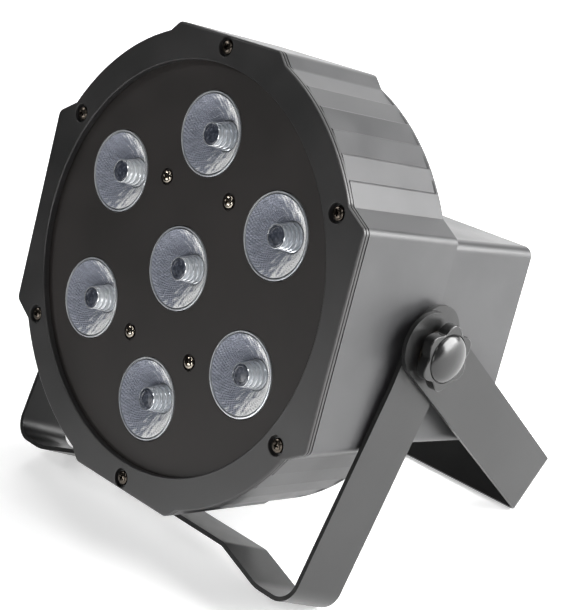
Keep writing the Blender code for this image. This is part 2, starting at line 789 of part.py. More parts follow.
def make_fan():
    x, z = FAN_AT
    rear = PANEL_REAR - 3.0
    front = rear - FAN_DEPTH
    corners = ((1, -1), (1, 1), (-1, 1), (-1, -1))
    outline = [(x + a * FAN_HALF, z + b * FAN_HALF) for a, b in corners]
    mesh = facing_rear(plate_mesh("fan_frame", [outline, circle(FAN_OPENING, 28, FAN_AT)], FAN_DEPTH))
    frame = place(mesh_object("fan_frame", mesh, knob_plastic()), location=(0, front, 0))
    strut = block("fan_strut", FAN_AT, (FAN_OPENING + 0.5, 2.0), front, front + 1.5)
    join(frame, "fan_strut", strut)
    hub = rod("fan_rotor", FAN_HUB_RADIUS, 0, 6.5, 16)
    rotor = mesh_object("fan_rotor", hub, knob_plastic())
    at = (x, front + 2.4, z)
    place(rotor, location=at)
    for index in range(FAN_BLADES):
        blade = box_mesh("blade", (4.5, 1.2, -3.5), (FAN_OPENING - 1, 2.4, 3.5))
        pitched = Matrix.Rotation(radians(28), 4, "X")
        blade.transform(Matrix.Translation((0, 2.5 * MM, 0)) @ pitched)
        blade.transform(Matrix.Rotation(2 * pi * index / FAN_BLADES, 4, "Y"))
        join(rotor, f"blade_{index + 1}", blade, location=at)


def strap_path(points, radii):
    """A bent strap's middle line as points, with a fillet of the given radius at each inner point."""
    path = [points[0]]
    for index in range(1, len(points) - 1):
        path += rounded_corner(points[index - 1], points[index], points[index + 1], radii[index - 1], 5)
    path.append(points[-1])
    return path


def strap_outline(path, thick):
    """The closed outline of a strap of this thickness about a path."""
    sides = ([], [])
    for index, point in enumerate(path):
        before = Vector(path[max(index - 1, 0)])
        after = Vector(path[min(index + 1, len(path) - 1)])
        here = Vector(point)
        directions = [d.normalized() for d in (here - before, after - here) if d.length > 1e-9]
        mean = sum(directions, Vector((0, 0))).normalized()
        normal = Vector((-mean.y, mean.x)) / max(mean.dot(directions[0]), 0.5)
        for side, sign in zip(sides, (1, -1)):
            side.append(tuple(here + normal * sign * thick / 2))
    return sides[0] + sides[1][::-1]


def strap_template(name):
    """A long slab with a round top end: what a strap keeps of its ears, seen from the side."""
    half = STRAP_WIDTH / 2 + 0.01
    outline = []
    for index in range(13):
        angle = pi * index / 12
        outline.append((half * cos(angle), EAR_BEYOND + half * sin(angle)))
    outline += [(-half, -2 * REAR_LENGTH), (half, -2 * REAR_LENGTH)]
    width = 2 * (REAR_EAR_OUT + 10)
    mesh = plate_mesh(name, [outline], width)
    mesh.transform(Matrix.Translation((0, 0, -width / 2 * MM)))
    mesh.transform(Matrix(((0, 0, 1, 0), (1, 0, 0, 0), (0, 1, 0, 0), (0, 0, 0, 1))))
    return mesh


def bracket(name, half_path, radii, tilt):
    """A U of strap. half_path runs from the right ear to the middle of the bar, as (x, distance down)."""
    right = strap_path(half_path, radii)[:-1]
    path = [(x, -down) for x, down in right] + [(-x, -down) for x, down in reversed(right)]
    mesh = plate_mesh(name, [strap_outline(path, STRAP_THICK)], STRAP_WIDTH)
    middle = -STRAP_WIDTH / 2 * MM
    mesh.transform(Matrix(((1, 0, 0, 0), (0, 0, 1, middle), (0, 1, 0, 0), (0, 0, 0, 1))))
    mesh.flip_normals()
    obj = mesh_object(name, mesh, strap_paint())
    where = {"location": (0, PIVOT_Y, PIVOT_Z), "rotation": (radians(tilt), 0, 0)}
    place(obj, **where)
    template = mesh_object(name + "_shape", strap_template(name + "_shape"))
    boolean(obj, template, "INTERSECT")
    place(template, **where)
    reach = REAR_EAR_OUT + 10
    ears = facing_side(cylinder_mesh("ear_hole", STUD_HOLE, -reach, reach, 16))
    cut(obj, name + "_ear_hole", ears, **where)
    bar = half_path[-1][1]
    clamp = cylinder_mesh("clamp_hole", CLAMP_HOLE, -bar - 10, -bar + 10, 20)
    cut(obj, name + "_clamp_hole", clamp, **where)


def make_brackets():
    top = -EAR_BEYOND - STRAP_WIDTH / 2
    middle = FRONT_EAR_OUT - STRAP_THICK / 2
    foot = FRONT_FOOT - STRAP_THICK / 2
    bar = FRONT_BAR - STRAP_THICK / 2
    front = [
        (middle, top), (middle, FRONT_LEG_START), (middle - FRONT_LEG_LEAN, foot),
        (FRONT_FOOT_IN, foot), (FRONT_BAR_BEND, bar), (0, bar),
    ]
    bracket("front_bracket", front, FRONT_FILLETS, FRONT_TILT)
    middle = REAR_EAR_OUT - STRAP_THICK / 2
    length = REAR_LENGTH - STRAP_THICK / 2
    bracket("rear_bracket", [(middle, top), (middle, length), (0, length)], REAR_FILLETS, REAR_TILT)


def knob_outline():
    """Round lobes with shallow hollows between them."""
    points = []
    steps = 6 * KNOB_LOBES
    for index in range(steps):
        angle = 2 * pi * index / steps
        wave = (1 + cos(KNOB_LOBES * angle)) / 2
        radius = KNOB_VALLEY_RADIUS + (KNOB_LOBE_RADIUS - KNOB_VALLEY_RADIUS) * wave**0.7
        points.append((radius * cos(angle), radius * sin(angle)))
    return points


def ring(name, side, inner, outer, low, high, paint, steps=20):
    """A flat ring on the pivot's axis."""
    mesh = plate_mesh(name, [circle(outer, steps), circle(inner, steps)], high - low)
    mesh.transform(Matrix.Translation((0, 0, low * MM)))
    obj = mesh_object(name, facing_side(mesh, side), paint)
    return place(smooth(obj), location=(0, PIVOT_Y, PIVOT_Z))


def knob_dome():
    """The round cap on a knob's outer face, its axis along z."""
    foot = KNOB_BASE + KNOB_THICK - 0.5
    profile = []
    for angle in range(0, 91, 15):
        across = KNOB_DOME_RADIUS * sin(radians(angle))
        profile.append((across, foot + KNOB_DOME_HEIGHT * cos(radians(angle))))
    dome = baked(turned("dome", profile + [(0, foot)], 20))
    mesh = dome.data
    bpy.data.objects.remove(dome, do_unlink=True)
    return mesh


def make_knob(side, word):
    pivot = (0, PIVOT_Y, PIVOT_Z)
    star = plate_mesh(f"clamp_knob_{word}", [knob_outline()], KNOB_THICK)
    star.transform(Matrix.Translation((0, 0, KNOB_BASE * MM)))
    knob = mesh_object(f"clamp_knob_{word}", facing_side(star, side), knob_plastic())
    place(knob, location=pivot)
    join(knob, f"knob_dome_{word}", facing_side(knob_dome(), side), location=pivot)
    deep = KNOB_BASE + KNOB_BORE_DEPTH
    bore = cylinder_mesh("knob_bore", STUD_RADIUS + GAP, KNOB_BASE - CLEAR, deep, 16)
    cut(knob, f"knob_bore_{word}", facing_side(bore, side), location=pivot)


def make_clamp(side, word):
    """The pieces on the pivot at one side, from the housing outwards."""
    spacer_out = FRONT_EAR_OUT - STRAP_THICK - GAP
    name = f"pivot_spacer_{word}"
    ring(name, side, STUD_HOLE, SPACER_RADIUS, SPACER_IN, spacer_out, knob_plastic())
    name = f"threaded_insert_{word}"
    ring(name, side, STUD_RADIUS + GAP, INSERT_RADIUS, PIVOT_BOSS_IN, BOX_HALF - 0.1, brass(), 16)
    washer_in = REAR_EAR_OUT + GAP
    washer_out = washer_in + WASHER_THICK
    name = f"clamp_washer_{word}"
    ring(name, side, STUD_HOLE, WASHER_RADIUS, washer_in, washer_out, nickel())
    rod_mesh = cylinder_mesh("stud", STUD_RADIUS, STUD_IN, KNOB_BASE + KNOB_BORE_DEPTH - GAP, 16)
    stud = mesh_object(f"clamp_stud_{word}", facing_side(rod_mesh, side), nickel())
    place(smooth(stud), location=(0, PIVOT_Y, PIVOT_Z))
    make_knob(side, word)


def strap_edge(tilt, down, across):
    """Where a point of a bracket lies in the can's frame, as (y, z)."""
    angle = radians(tilt)
    y = PIVOT_Y + down * sin(angle) + across * cos(angle)
    return y, PIVOT_Z - down * cos(angle) + across * sin(angle)


def standing_tilt():
    """The angle between the can's axis and the floor when both brackets' edges touch it."""
    front = strap_edge(FRONT_TILT, FRONT_FOOT, STRAP_WIDTH / 2)
    rear = strap_edge(REAR_TILT, REAR_LENGTH, -STRAP_WIDTH / 2)
    return atan2(rear[1] - front[1], rear[0] - front[0])


def stand_on_floor():
    """Puts the lowest point at z = 0, and the middle of the whole model over the origin."""
    bpy.context.view_layer.update()
    graph = bpy.context.evaluated_depsgraph_get()
    low = Vector((1e9, 1e9, 1e9))
    high = -low
    for obj in PARTS.objects:
        shown = obj.evaluated_get(graph)
        for vertex in shown.data.vertices:
            point = shown.matrix_world @ vertex.co
            low = Vector(map(min, low, point))
            high = Vector(map(max, high, point))
    middle = (low + high) / 2
    ROOT.location -= Vector((middle.x, middle.y, low.z))


def main():
    global PARTS, CUTTERS, ROOT
    clear_scene()
    PARTS = new_collection("par_can")
    CUTTERS = new_collection("cutters")
    CUTTERS.hide_render = True
    ROOT = bpy.data.objects.new("can_frame", None)
    bpy.context.scene.collection.objects.link(ROOT)
    ROOT.rotation_euler = Euler((-standing_tilt(), 0, 0))
    make_bezel()
    make_screws()
    make_panel()
    make_lenses()
    make_led_board()
    make_heatsink()
    make_housing()
    make_rear_panel()
    make_display()
    make_buttons()
    make_driver_board()
    make_power_inlet()
    make_fuse_drawer()
    make_dmx_sockets()
    make_fan()
    make_brackets()
    make_clamp(1, "right")
    make_clamp(-1, "left")
    stand_on_floor()


main()
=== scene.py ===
"""The par can's looks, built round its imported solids.

Shapes are drawn in millimetres in the can's own frame: x to the right, y to the rear along the can's
axis and z to its top, from the centre of the bezel's front face. CAN places that frame in the model.
"""

import json
import random
from math import acos, atan2, cos, pi, radians, sin, sqrt

import bmesh
import bpy
from mathutils import Matrix, Vector


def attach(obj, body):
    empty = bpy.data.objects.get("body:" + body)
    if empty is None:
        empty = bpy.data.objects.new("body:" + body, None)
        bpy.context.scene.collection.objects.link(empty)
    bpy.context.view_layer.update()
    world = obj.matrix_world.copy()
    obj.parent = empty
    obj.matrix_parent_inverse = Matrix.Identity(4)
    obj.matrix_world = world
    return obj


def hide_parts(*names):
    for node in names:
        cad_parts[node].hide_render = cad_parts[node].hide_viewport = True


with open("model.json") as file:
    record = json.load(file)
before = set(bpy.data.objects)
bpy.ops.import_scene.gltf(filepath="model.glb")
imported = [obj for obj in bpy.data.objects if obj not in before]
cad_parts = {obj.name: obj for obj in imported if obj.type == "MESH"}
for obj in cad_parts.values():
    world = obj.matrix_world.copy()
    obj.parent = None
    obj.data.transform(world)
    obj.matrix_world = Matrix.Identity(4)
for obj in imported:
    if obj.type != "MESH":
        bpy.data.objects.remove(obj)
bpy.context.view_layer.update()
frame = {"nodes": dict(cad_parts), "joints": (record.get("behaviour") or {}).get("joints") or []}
JOINTS = {joint["name"]: joint for joint in frame["joints"]}
MM = 0.001

# The pivot's place in the can's frame, and the can's outline: a circle with four flat lobes
PIVOT_Y = 55.9
PIVOT_Z = -0.5
ROUND_RADIUS = 105.8
TOP_HALF = 104.0
SIDE_HALF = 102.5
TOP_FLAT_HALF = 32.5
SIDE_FLAT_HALF = 47.0
TOP_FLANK_HALF = 37.6
SIDE_FLANK_HALF = 53.6
LOBE_CORNER = 4.0

# Bezel and panel
BEZEL_OPENING = 91.6
BEZEL_SINK = 2.3
BEZEL_SINK_RADIUS = 4.3
PANEL_SINK = 1.4
PANEL_SINK_RADIUS = 3.8
SCREW_HOLE = 1.8
PANEL_INSET = 3.3

# Housing
WALL = 2.5
REAR_PANEL_GAP = 0.3
HOUSING_EDGE = 0.8
SHELL_DRAFT = 0.982
SHELL_REAR = 62.6
GROOVES = 5
STEP_WIDTH = 1.2
STEP_DEPTH = 0.6
STEP_STOP = 60.2
BOX_CORNER = 5.0
VENT_COUNT = 5
VENT_PITCH = 34.0
VENT_HALF = 12.0
VENT_FRONT = 67.0
VENT_REAR = 70.0

# Straps
STRAP_THICK = 2.0
STRAP_WIDTH = 29.2
EAR_BEYOND = 5.7
EAR_HOLE = 4.5
CLAMP_HOLE = 5.25
FRONT_TILT = -12.0
FRONT_FOOT = 122.5
FRONT_BAR = 114.6
FRONT_LEG_START = 20.0
FRONT_LEG_LEAN = 5.3
FRONT_FOOT_IN = 80.0
FRONT_BAR_BEND = 54.0
FRONT_FILLETS = (30.0, 10.0, 22.0, 7.0)
REAR_TILT = 57.2
REAR_LENGTH = 120.5
REAR_FILLETS = (3.0,)

# Lenses
RAYS = 60
RING_PITCH = 1.3
OPTIC_DEPTH = 10.2
DISC_RADIUS = 5.0
FOOT_RADIUS = 6.6

# Clamp knobs
KNOB_LOBES = 6
KNOB_LOBE_RADIUS = 14.6
KNOB_VALLEY_RADIUS = 11.8
KNOB_DOME_RADIUS = 10.6
KNOB_THICK = 5.8
STUD_RADIUS = 4.0
WASHER_HOLE = 4.5


# ---- frame

def can_frame():
    """The can's frame as a matrix that takes millimetres to the model's metres."""
    right = Vector((1, 0, 0))
    rear = Vector(JOINTS["fan_spin"]["axis"])
    up = right.cross(rear)
    pivot = Vector(JOINTS["front_bracket_tilt"]["pos_m"])
    origin = pivot - rear * PIVOT_Y * MM - up * PIVOT_Z * MM
    turn = Matrix((right, rear, up)).transposed().to_4x4()
    return Matrix.Translation(origin) @ turn @ Matrix.Scale(MM, 4)


CAN = can_frame()
CAN_INVERSE = CAN.inverted()
PIVOT = Matrix.Translation((0, PIVOT_Y, PIVOT_Z))


def can_box(node):
    """A node's lowest and highest corners in the can's frame, in millimetres."""
    points = [CAN_INVERSE @ vertex.co for vertex in frame["nodes"][node].data.vertices]
    low = Vector([min(point[axis] for point in points) for axis in range(3)])
    high = Vector([max(point[axis] for point in points) for axis in range(3)])
    return low, high


def extent(node):
    """A node's lowest corner, its centre and its highest corner."""
    low, high = can_box(node)
    return low, (low + high) / 2, high


def centre_of(node):
    return extent(node)[1]


# ---- meshes

def loft(name, rows, ring=False, caps=True):
    """Quads between rows, each a closed loop of as many points. A ring's last row meets its first."""
    count = len(rows[0])
    faces = []
    for i in range(len(rows) if ring else len(rows) - 1):
        a, b = i * count, (i + 1) % len(rows) * count
        for j in range(count):
            k = (j + 1) % count
            faces.append((a + j, a + k, b + k, b + j))
    if caps and not ring:
        faces.append(tuple(reversed(range(count))))
        faces.append(tuple(range((len(rows) - 1) * count, len(rows) * count)))
    mesh = bpy.data.meshes.new(name)
    mesh.from_pydata([point for row in rows for point in row], [], faces)
    return outward(mesh)


def outward(mesh):
    """Joins doubled points and turns the faces outwards."""
    shaped = bmesh.new()
    shaped.from_mesh(mesh)
    bmesh.ops.remove_doubles(shaped, verts=shaped.verts, dist=1e-4)
    bmesh.ops.recalc_face_normals(shaped, faces=shaped.faces)
    shaped.to_mesh(mesh)
    shaped.free()
    return mesh


def lathe(name, profile, steps=64, ring=False):
    """A profile of (radius, y) turned about the y axis."""
    rows = []
    for radius, y in profile:
        reach = max(radius, 1e-5)
        rows.append([
            (reach * cos(2 * pi * i / steps), y, reach * sin(2 * pi * i / steps)) for i in range(steps)
        ])
    return loft(name, rows, ring)


def rod(radius, front, rear, steps):
    """A plain round rod along y."""
    return lathe("rod", [(0, front), (radius, front), (radius, rear), (0, rear)], steps)


def slab(name, outline, front, rear):
    """An outline in x and z extruded along y, with sharp rims."""
    return loft(name, [row(outline, front), row(outline, rear)])


def rim(edge, angles=range(0, 91, 30)):
    """A rounded rim as pairs of how far it lies inwards and back from the sharp corner."""
    turns = [radians(angle) for angle in angles] if edge else [0.0]
    return [(edge * (1 - cos(turn)), edge * (1 - sin(turn))) for turn in turns]


def extruded(name, outline, front, rear, edge=0.0, steps=3):
    """An outline in x and z extruded along y, its two rims rounded by the given radius."""
    middle = sum((Vector(point) for point in outline), Vector((0, 0))) / len(outline)
    rows = []
    for y, sign in ((front, 1), (rear, -1)):
        turns = range(steps + 1) if sign > 0 else range(steps, -1, -1)
        for i in turns if edge else [0]:
            angle = pi / 2 * i / steps if edge else 0
            inset = edge * (1 - sin(angle))
            along = y + sign * edge * (1 - cos(angle))
            rows.append([(x, along, z) for x, z in inset_loop(outline, inset, middle)])
    return loft(name, rows)


def inset_loop(outline, inset, middle):
    """A closed outline moved towards its inside by the inset."""
    if not inset:
        return list(outline)
    count = len(outline)
    moved = []
    for i, point in enumerate(outline):
        before = Vector(outline[i - 1])
        after = Vector(outline[(i + 1) % count])
        here = Vector(point)
        first = (here - before).normalized()
        second = (after - here).normalized()
        mean = (first + second).normalized()
        normal = Vector((-mean.y, mean.x))
        if normal.dot(middle - here) < 0:
            normal = -normal
        moved.append(tuple(here + normal * inset / max(mean.dot(first), 0.5)))
    return moved


def rounded_corner(before, corner, after, radius, steps=8):
    """The points of a fillet at a corner."""
    corner = Vector(corner)
    back = (Vector(before) - corner).normalized()
    ahead = (Vector(after) - corner).normalized()
    half = acos(max(-1.0, min(1.0, back.dot(ahead)))) / 2
    reach = radius / sin(half) * cos(half)
    centre = corner + (back + ahead).normalized() * (radius / sin(half))
    start = corner + back * reach - centre
    end = corner + ahead * reach - centre
    first = atan2(start.y, start.x)
    turn = (atan2(end.y, end.x) - first + pi) % (2 * pi) - pi
    return [
        tuple(centre + Vector((cos(first + turn * i / steps), sin(first + turn * i / steps))) * radius)
        for i in range(steps + 1)
    ]


def rounded_polygon(corners, radius, steps=8):
    points = []
    for i, corner in enumerate(corners):
        points += rounded_corner(corners[i - 1], corner, corners[(i + 1) % len(corners)], radius, steps)
    return points


def rounded_rectangle(low, high, radius, steps=8):
    """low and high are (x, z) corners."""
    corners = [(high[0], low[1]), (high[0], high[1]), (low[0], high[1]), (low[0], low[1])]
    return rounded_polygon(corners, radius, steps)


def rectangle(centre, half, radius, steps=8):
    """A rounded rectangle about a centre, from half its width and height."""
    low = (centre[0] - half[0], centre[1] - half[1])
    high = (centre[0] + half[0], centre[1] + half[1])
    return rounded_rectangle(low, high, radius, steps)


# ---- objects

def in_scene(name, data):
    obj = bpy.data.objects.new(name, data)
    bpy.context.scene.collection.objects.link(obj)
    return obj


def new_object(name, mesh, matrix=None):
    """An object in the can's frame, or in a frame within it."""
    obj = in_scene(name, mesh)
    obj.matrix_world = CAN @ (matrix or Matrix.Identity(4))
    return obj


def face_plate(name, node_name, radius, edge=0.0, front=None, steps=8):
    """A plate that fills a node, seen along y, from the node's front or the given one to its rear."""
    low, high = can_box(node_name)
    outline = rounded_rectangle((low.x, low.z), (high.x, high.z), radius, steps)
    return new_object(name, extruded(name, outline, low.y if front is None else front, high.y, edge))


def baked(obj):
    """Applies the object's modifiers."""
    bpy.context.view_layer.update()
    graph = bpy.context.evaluated_depsgraph_get()
    mesh = bpy.data.meshes.new_from_object(obj.evaluated_get(graph))
    obj.modifiers.clear()
    obj.data = mesh
    return obj


def boolean(obj, mesh, operation="DIFFERENCE", matrix=None):
    other = new_object("tool", mesh)
    other.matrix_world = obj.matrix_world @ (matrix or Matrix.Identity(4))
    modifier = obj.modifiers.new("Boolean", "BOOLEAN")
    modifier.operation = operation
    modifier.object = other
    modifier.solver = "EXACT"
    baked(obj)
    bpy.data.objects.remove(other, do_unlink=True)
    return obj


def at(x, y, z):
    return Matrix.Translation((x, y, z))


def in_line(point):
    """In line with a point along y, from y = 0."""
    return at(point.x, 0, point.z)


def shaded(mesh, angle):
    """Smooth shading across edges that bend by less than the angle."""
    mesh.shade_smooth()
    mesh.set_sharp_from_angle(angle=radians(angle))
    return mesh


def smooth(obj, angle=30):
    """Smooth shading between faces that meet at less than the angle, with the large faces kept flat."""
    shaded(obj.data, angle)
    weighted = obj.modifiers.new("Normals", "WEIGHTED_NORMAL")
    weighted.keep_sharp = True
    weighted.weight = 100
    return baked(obj)


def soften(obj, width, segments=2, angle=50):
    """Rounds the sharp edges and keeps the flat faces flat. The width is in millimetres."""
    bevel = obj.modifiers.new("Edges", "BEVEL")
    bevel.width = width
    bevel.segments = segments
    bevel.limit_method = "ANGLE"
    bevel.angle_limit = radians(angle)
    bevel.use_clamp_overlap = True
    obj.data.shade_smooth()
    bevel.harden_normals = True
    return baked(obj)


def squared(obj):
    """Turns the mesh into the model's own axes, so that the piece's box fits it closely."""
    obj.data = obj.data.copy()
    obj.data.transform(Matrix.Scale(1 / MM, 4) @ obj.matrix_world)
    obj.matrix_world = Matrix.Scale(MM, 4)


def dress(obj, paint, body, *nodes):
    """Gives a finished piece its paint, parents it to the body it rides on and hides the nodes it stands for.

    The lenses' optics keep their own axes, which their paint and its painted highlight are drawn round."""
    if paint != "optic":
        squared(obj)
    obj.data.materials.clear()
    obj.data.materials.append(PAINT[paint])
    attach(obj, body)
    if nodes:
        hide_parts(*nodes)
    return obj


# ---- materials

def shader(name, color, roughness, metallic=0.0):
    """A new material and its Principled shader."""
    made = bpy.data.materials.new(name)
    made.use_nodes = True
    principled = made.node_tree.nodes["Principled BSDF"]
    principled.inputs["Base Color"].default_value = (*color, 1)
    principled.inputs["Roughness"].default_value = roughness
    principled.inputs["Metallic"].default_value = metallic
    return made, principled


def node(material, kind, **values):
    """A new shader node, its sockets and settings given by name."""
    made = material.node_tree.nodes.new("ShaderNode" + kind)
    for key, value in values.items():
        if key in made.inputs:
            made.inputs[key].default_value = value
        else:
            setattr(made, key, value)
    return made


def link(material, source, output, target, socket):
    material.node_tree.links.new(source.outputs[output], target.inputs[socket])


def place_texture(material, *textures):
    """Feeds the object's own coordinates to the textures."""
    coordinates = node(material, "TexCoord")
    for texture in textures:
        link(material, coordinates, "Object", texture, "Vector")


def map_range(material, ranges, **settings):
    """A Map Range node with its From Min, From Max, To Min and To Max."""
    mapped = node(material, "MapRange", **settings)
    for socket, value in zip(("From Min", "From Max", "To Min", "To Max"), ranges):
        mapped.inputs[socket].default_value = value
    return mapped


def times(material, source, output, factor):
    """A value times a constant."""
    product = node(material, "Math", operation="MULTIPLY")
    product.inputs[1].default_value = factor
    link(material, source, output, product, 0)
    return product


def spread(material, texture, low, high, target, socket):
    """Maps a texture's value to a range and feeds it to a socket."""
    mapped = map_range(material, (0.3, 0.7, low, high))
    link(material, texture, 0, mapped, "Value")
    link(material, mapped, "Result", target, socket)


def tint(material, texture, dark, light, target):
    """Colours the surface between two shades by a texture's value."""
    ramp = node(material, "ValToRGB")
    ramp.color_ramp.elements[0].position = 0.35
    ramp.color_ramp.elements[0].color = (*dark, 1)
    ramp.color_ramp.elements[1].position = 0.65
    ramp.color_ramp.elements[1].color = (*light, 1)
    link(material, texture, 0, ramp, "Fac")
    link(material, ramp, "Color", target, "Base Color")


def relief(material, texture, height, target):
    """Bump of the given height in millimetres."""
    bump = node(material, "Bump")
    bump.inputs["Strength"].default_value = 1.0
    bump.inputs["Distance"].default_value = height * MM
    link(material, texture, 0, bump, "Height")
    link(material, bump, "Normal", target, "Normal")


def grained(name, dark, light, roughness, grain, height, metallic=0.0, specular=0.5):
    """A surface with a fine grain, cloudy roughness and a slight drift of colour. grain is its size in mm."""
    made, principled = shader(name, light, roughness[0], metallic)
    principled.inputs["Specular IOR Level"].default_value = specular
    fine = node(made, "TexNoise", Scale=1 / grain, Detail=3.0, Roughness=0.6)
    cloud = node(made, "TexNoise", Scale=1 / 28, Detail=4.0, Roughness=0.55)
    place_texture(made, fine, cloud)
    tint(made, cloud, dark, light, principled)
    spread(made, cloud, roughness[0], roughness[1], principled, "Roughness")
    relief(made, fine, height, principled)
    return made


# Grained surfaces: name, darker and lighter colour, roughness, grain, relief, metallic, specular level
GRAINED = {
    "housing": ("housing_plastic", (0.024, 0.024, 0.025), (0.033, 0.033, 0.034), (0.34, 0.42), 0.35, 0.012),
    "bezel": ("bezel_plastic", (0.016, 0.016, 0.016), (0.022, 0.021, 0.021), (0.34, 0.42), 0.35, 0.010),
    "panel": (
        "panel_plastic", (0.014, 0.012, 0.011), (0.019, 0.016, 0.015), (0.46, 0.56), 0.25, 0.010, 0.0, 0.35),
    "strap": (
        "painted_steel", (0.008, 0.008, 0.008), (0.012, 0.012, 0.012), (0.30, 0.38), 0.55, 0.015, 0.0, 0.42),
    "knob": ("knob_plastic", (0.006, 0.006, 0.006), (0.010, 0.010, 0.010), (0.18, 0.26), 0.5, 0.004),
    "socket": ("socket_plastic", (0.010, 0.010, 0.010), (0.015, 0.015, 0.015), (0.32, 0.42), 0.3, 0.008),
    "bronze": ("bronzed_screw", (0.05, 0.042, 0.035), (0.10, 0.085, 0.07), (0.20, 0.30), 0.4, 0.008, 1.0),
    "nickel": ("nickel", (0.30, 0.265, 0.22), (0.44, 0.395, 0.33), (0.14, 0.24), 0.5, 0.006, 1.0),
    "brass": ("brass", (0.55, 0.40, 0.18), (0.70, 0.53, 0.26), (0.25, 0.35), 0.4, 0.008, 1.0),
    "clear": ("lens_body", (0.55, 0.58, 0.62), (0.80, 0.82, 0.84), (0.10, 0.18), 1.5, 0.010, 0.55),
}

SLOTS = {paint: values[0] for paint, values in GRAINED.items()}
SLOTS.update({paint: "clear_lens" for paint in ("optic", "clear", "well", "window")})


def paints():
    """Every material by name."""
    made = {paint: grained(*values) for paint, values in GRAINED.items()}
    made["aluminium"] = brushed_aluminium()
    made["board"] = circuit_board()
    made["optic"] = lens_optic()
    made["well"] = lens_well()
    made["window"] = display_glass()
    return made


def brushed_aluminium():
    made, principled = shader("aluminium", (0.72, 0.72, 0.74), 0.35, 1.0)
    lines = node(made, "TexWave", Scale=1.4, Distortion=2.0, Detail=3.0)
    place_texture(made, lines)
    spread(made, lines, 0.28, 0.45, principled, "Roughness")
    relief(made, lines, 0.01, principled)
    return made


def circuit_board():
    """Green solder mask with the tracks showing through."""
    made, principled = shader("circuit_board", (0.02, 0.10, 0.04), 0.35)
    tracks = node(made, "TexBrick", Scale=0.5, offset=0.5)
    tracks.inputs["Color1"].default_value = (0.015, 0.085, 0.035, 1)
    tracks.inputs["Color2"].default_value = (0.022, 0.12, 0.05, 1)
    tracks.inputs["Mortar"].default_value = (0.05, 0.2, 0.09, 1)
    tracks.inputs["Mortar Size"].default_value = 0.03
    place_texture(made, tracks)
    link(made, tracks, "Color", principled, "Base Color")
    relief(made, tracks, 0.03, principled)
    return made


def polar(material):
    """The angle and the radius about the lens's own axis and the place across it, as three nodes."""
    coordinates = node(material, "TexCoord")
    split = node(material, "SeparateXYZ")
    link(material, coordinates, "Object", split, "Vector")
    angle = node(material, "Math", operation="ARCTAN2")
    link(material, split, "Z", angle, 0)
    link(material, split, "X", angle, 1)
    flat = node(material, "CombineXYZ")
    link(material, split, "X", flat, "X")
    link(material, split, "Z", flat, "Y")
    radius = node(material, "VectorMath", operation="LENGTH")
    link(material, flat, "Vector", radius, 0)
    return angle, radius, split


def waves(material, source, output, rate):
    """A sine of a value times a rate, from -1 to 1."""
    wave = node(material, "Math", operation="SINE")
    link(material, times(material, source, output, rate), 0, wave, 0)
    return wave


def lens_optic():
    """The moulded bowl behind a lens's face: beads in relief, and a streaky colour that runs from dark
    blue-grey on the left to white on the right. The white is a painted highlight of the bright crescent that
    the bowl's right wall reflects.
    """
    made, principled = shader("clear_lens", (0.80, 0.83, 0.90), 0.22, 0.05)
    angle, radius, split = polar(made)
    rays = waves(made, angle, 0, RAYS)
    rings = waves(made, radius, "Value", 2 * pi / RING_PITCH)
    beads = node(made, "Math", operation="MULTIPLY")
    link(made, rays, 0, beads, 0)
    link(made, rings, 0, beads, 1)
    relief(made, beads, 0.14, principled)
    fan = node(made, "CombineXYZ")
    link(made, angle, 0, fan, "X")
    link(made, times(made, radius, "Value", 0.03), 0, fan, "Y")
    # Streaky noise that breaks up the painted highlight.
    highlight_streaks = node(made, "TexNoise", Scale=9.0, Detail=3.0)
    link(made, fan, "Vector", highlight_streaks, "Vector")
    # Place across the lens plus the noise: lighter to the right and darker to the left, as painted highlight
    # and painted shade.
    across = node(made, "Math", operation="MULTIPLY_ADD")
    across.inputs[1].default_value = 0.028
    link(made, split, "X", across, 0)
    link(made, highlight_streaks, 0, across, 2)
    # Blue-grey through to white: painted reflection and highlight, not the bowl's own colour.
    ramp = node(made, "ValToRGB")
    ramp.color_ramp.elements[0].position = 0.05
    ramp.color_ramp.elements[0].color = (0.19, 0.205, 0.25, 1)
    ramp.color_ramp.elements[1].position = 0.68
    ramp.color_ramp.elements[1].color = (1.0, 1.0, 1.0, 1)
    middle = ramp.color_ramp.elements.new(0.45)
    middle.color = (0.30, 0.32, 0.38, 1)
    link(made, across, 0, ramp, "Fac")
    link(made, ramp, "Color", principled, "Base Color")
    return made


def lens_well():
    """The dark middle of a lens, where the emitter's own plastic shows."""
    made, principled = shader("lens_well", (0.04, 0.045, 0.06), 0.22)
    cloud = node(made, "TexNoise", Scale=0.6, Detail=2.0)
    place_texture(made, cloud)
    tint(made, cloud, (0.022, 0.026, 0.036), (0.060, 0.067, 0.088), principled)
    spread(made, cloud, 0.15, 0.30, principled, "Roughness")
    return made


def display_glass():
    made, principled = shader("display_window", (0.02, 0.004, 0.004), 0.08)
    principled.inputs["Coat Weight"].default_value = 1.0
    cloud = node(made, "TexNoise", Scale=0.2, Detail=2.0)
    place_texture(made, cloud)
    spread(made, cloud, 0.05, 0.12, principled, "Roughness")
    return made


PAINT = paints()


# ---- housing, bezel, panel

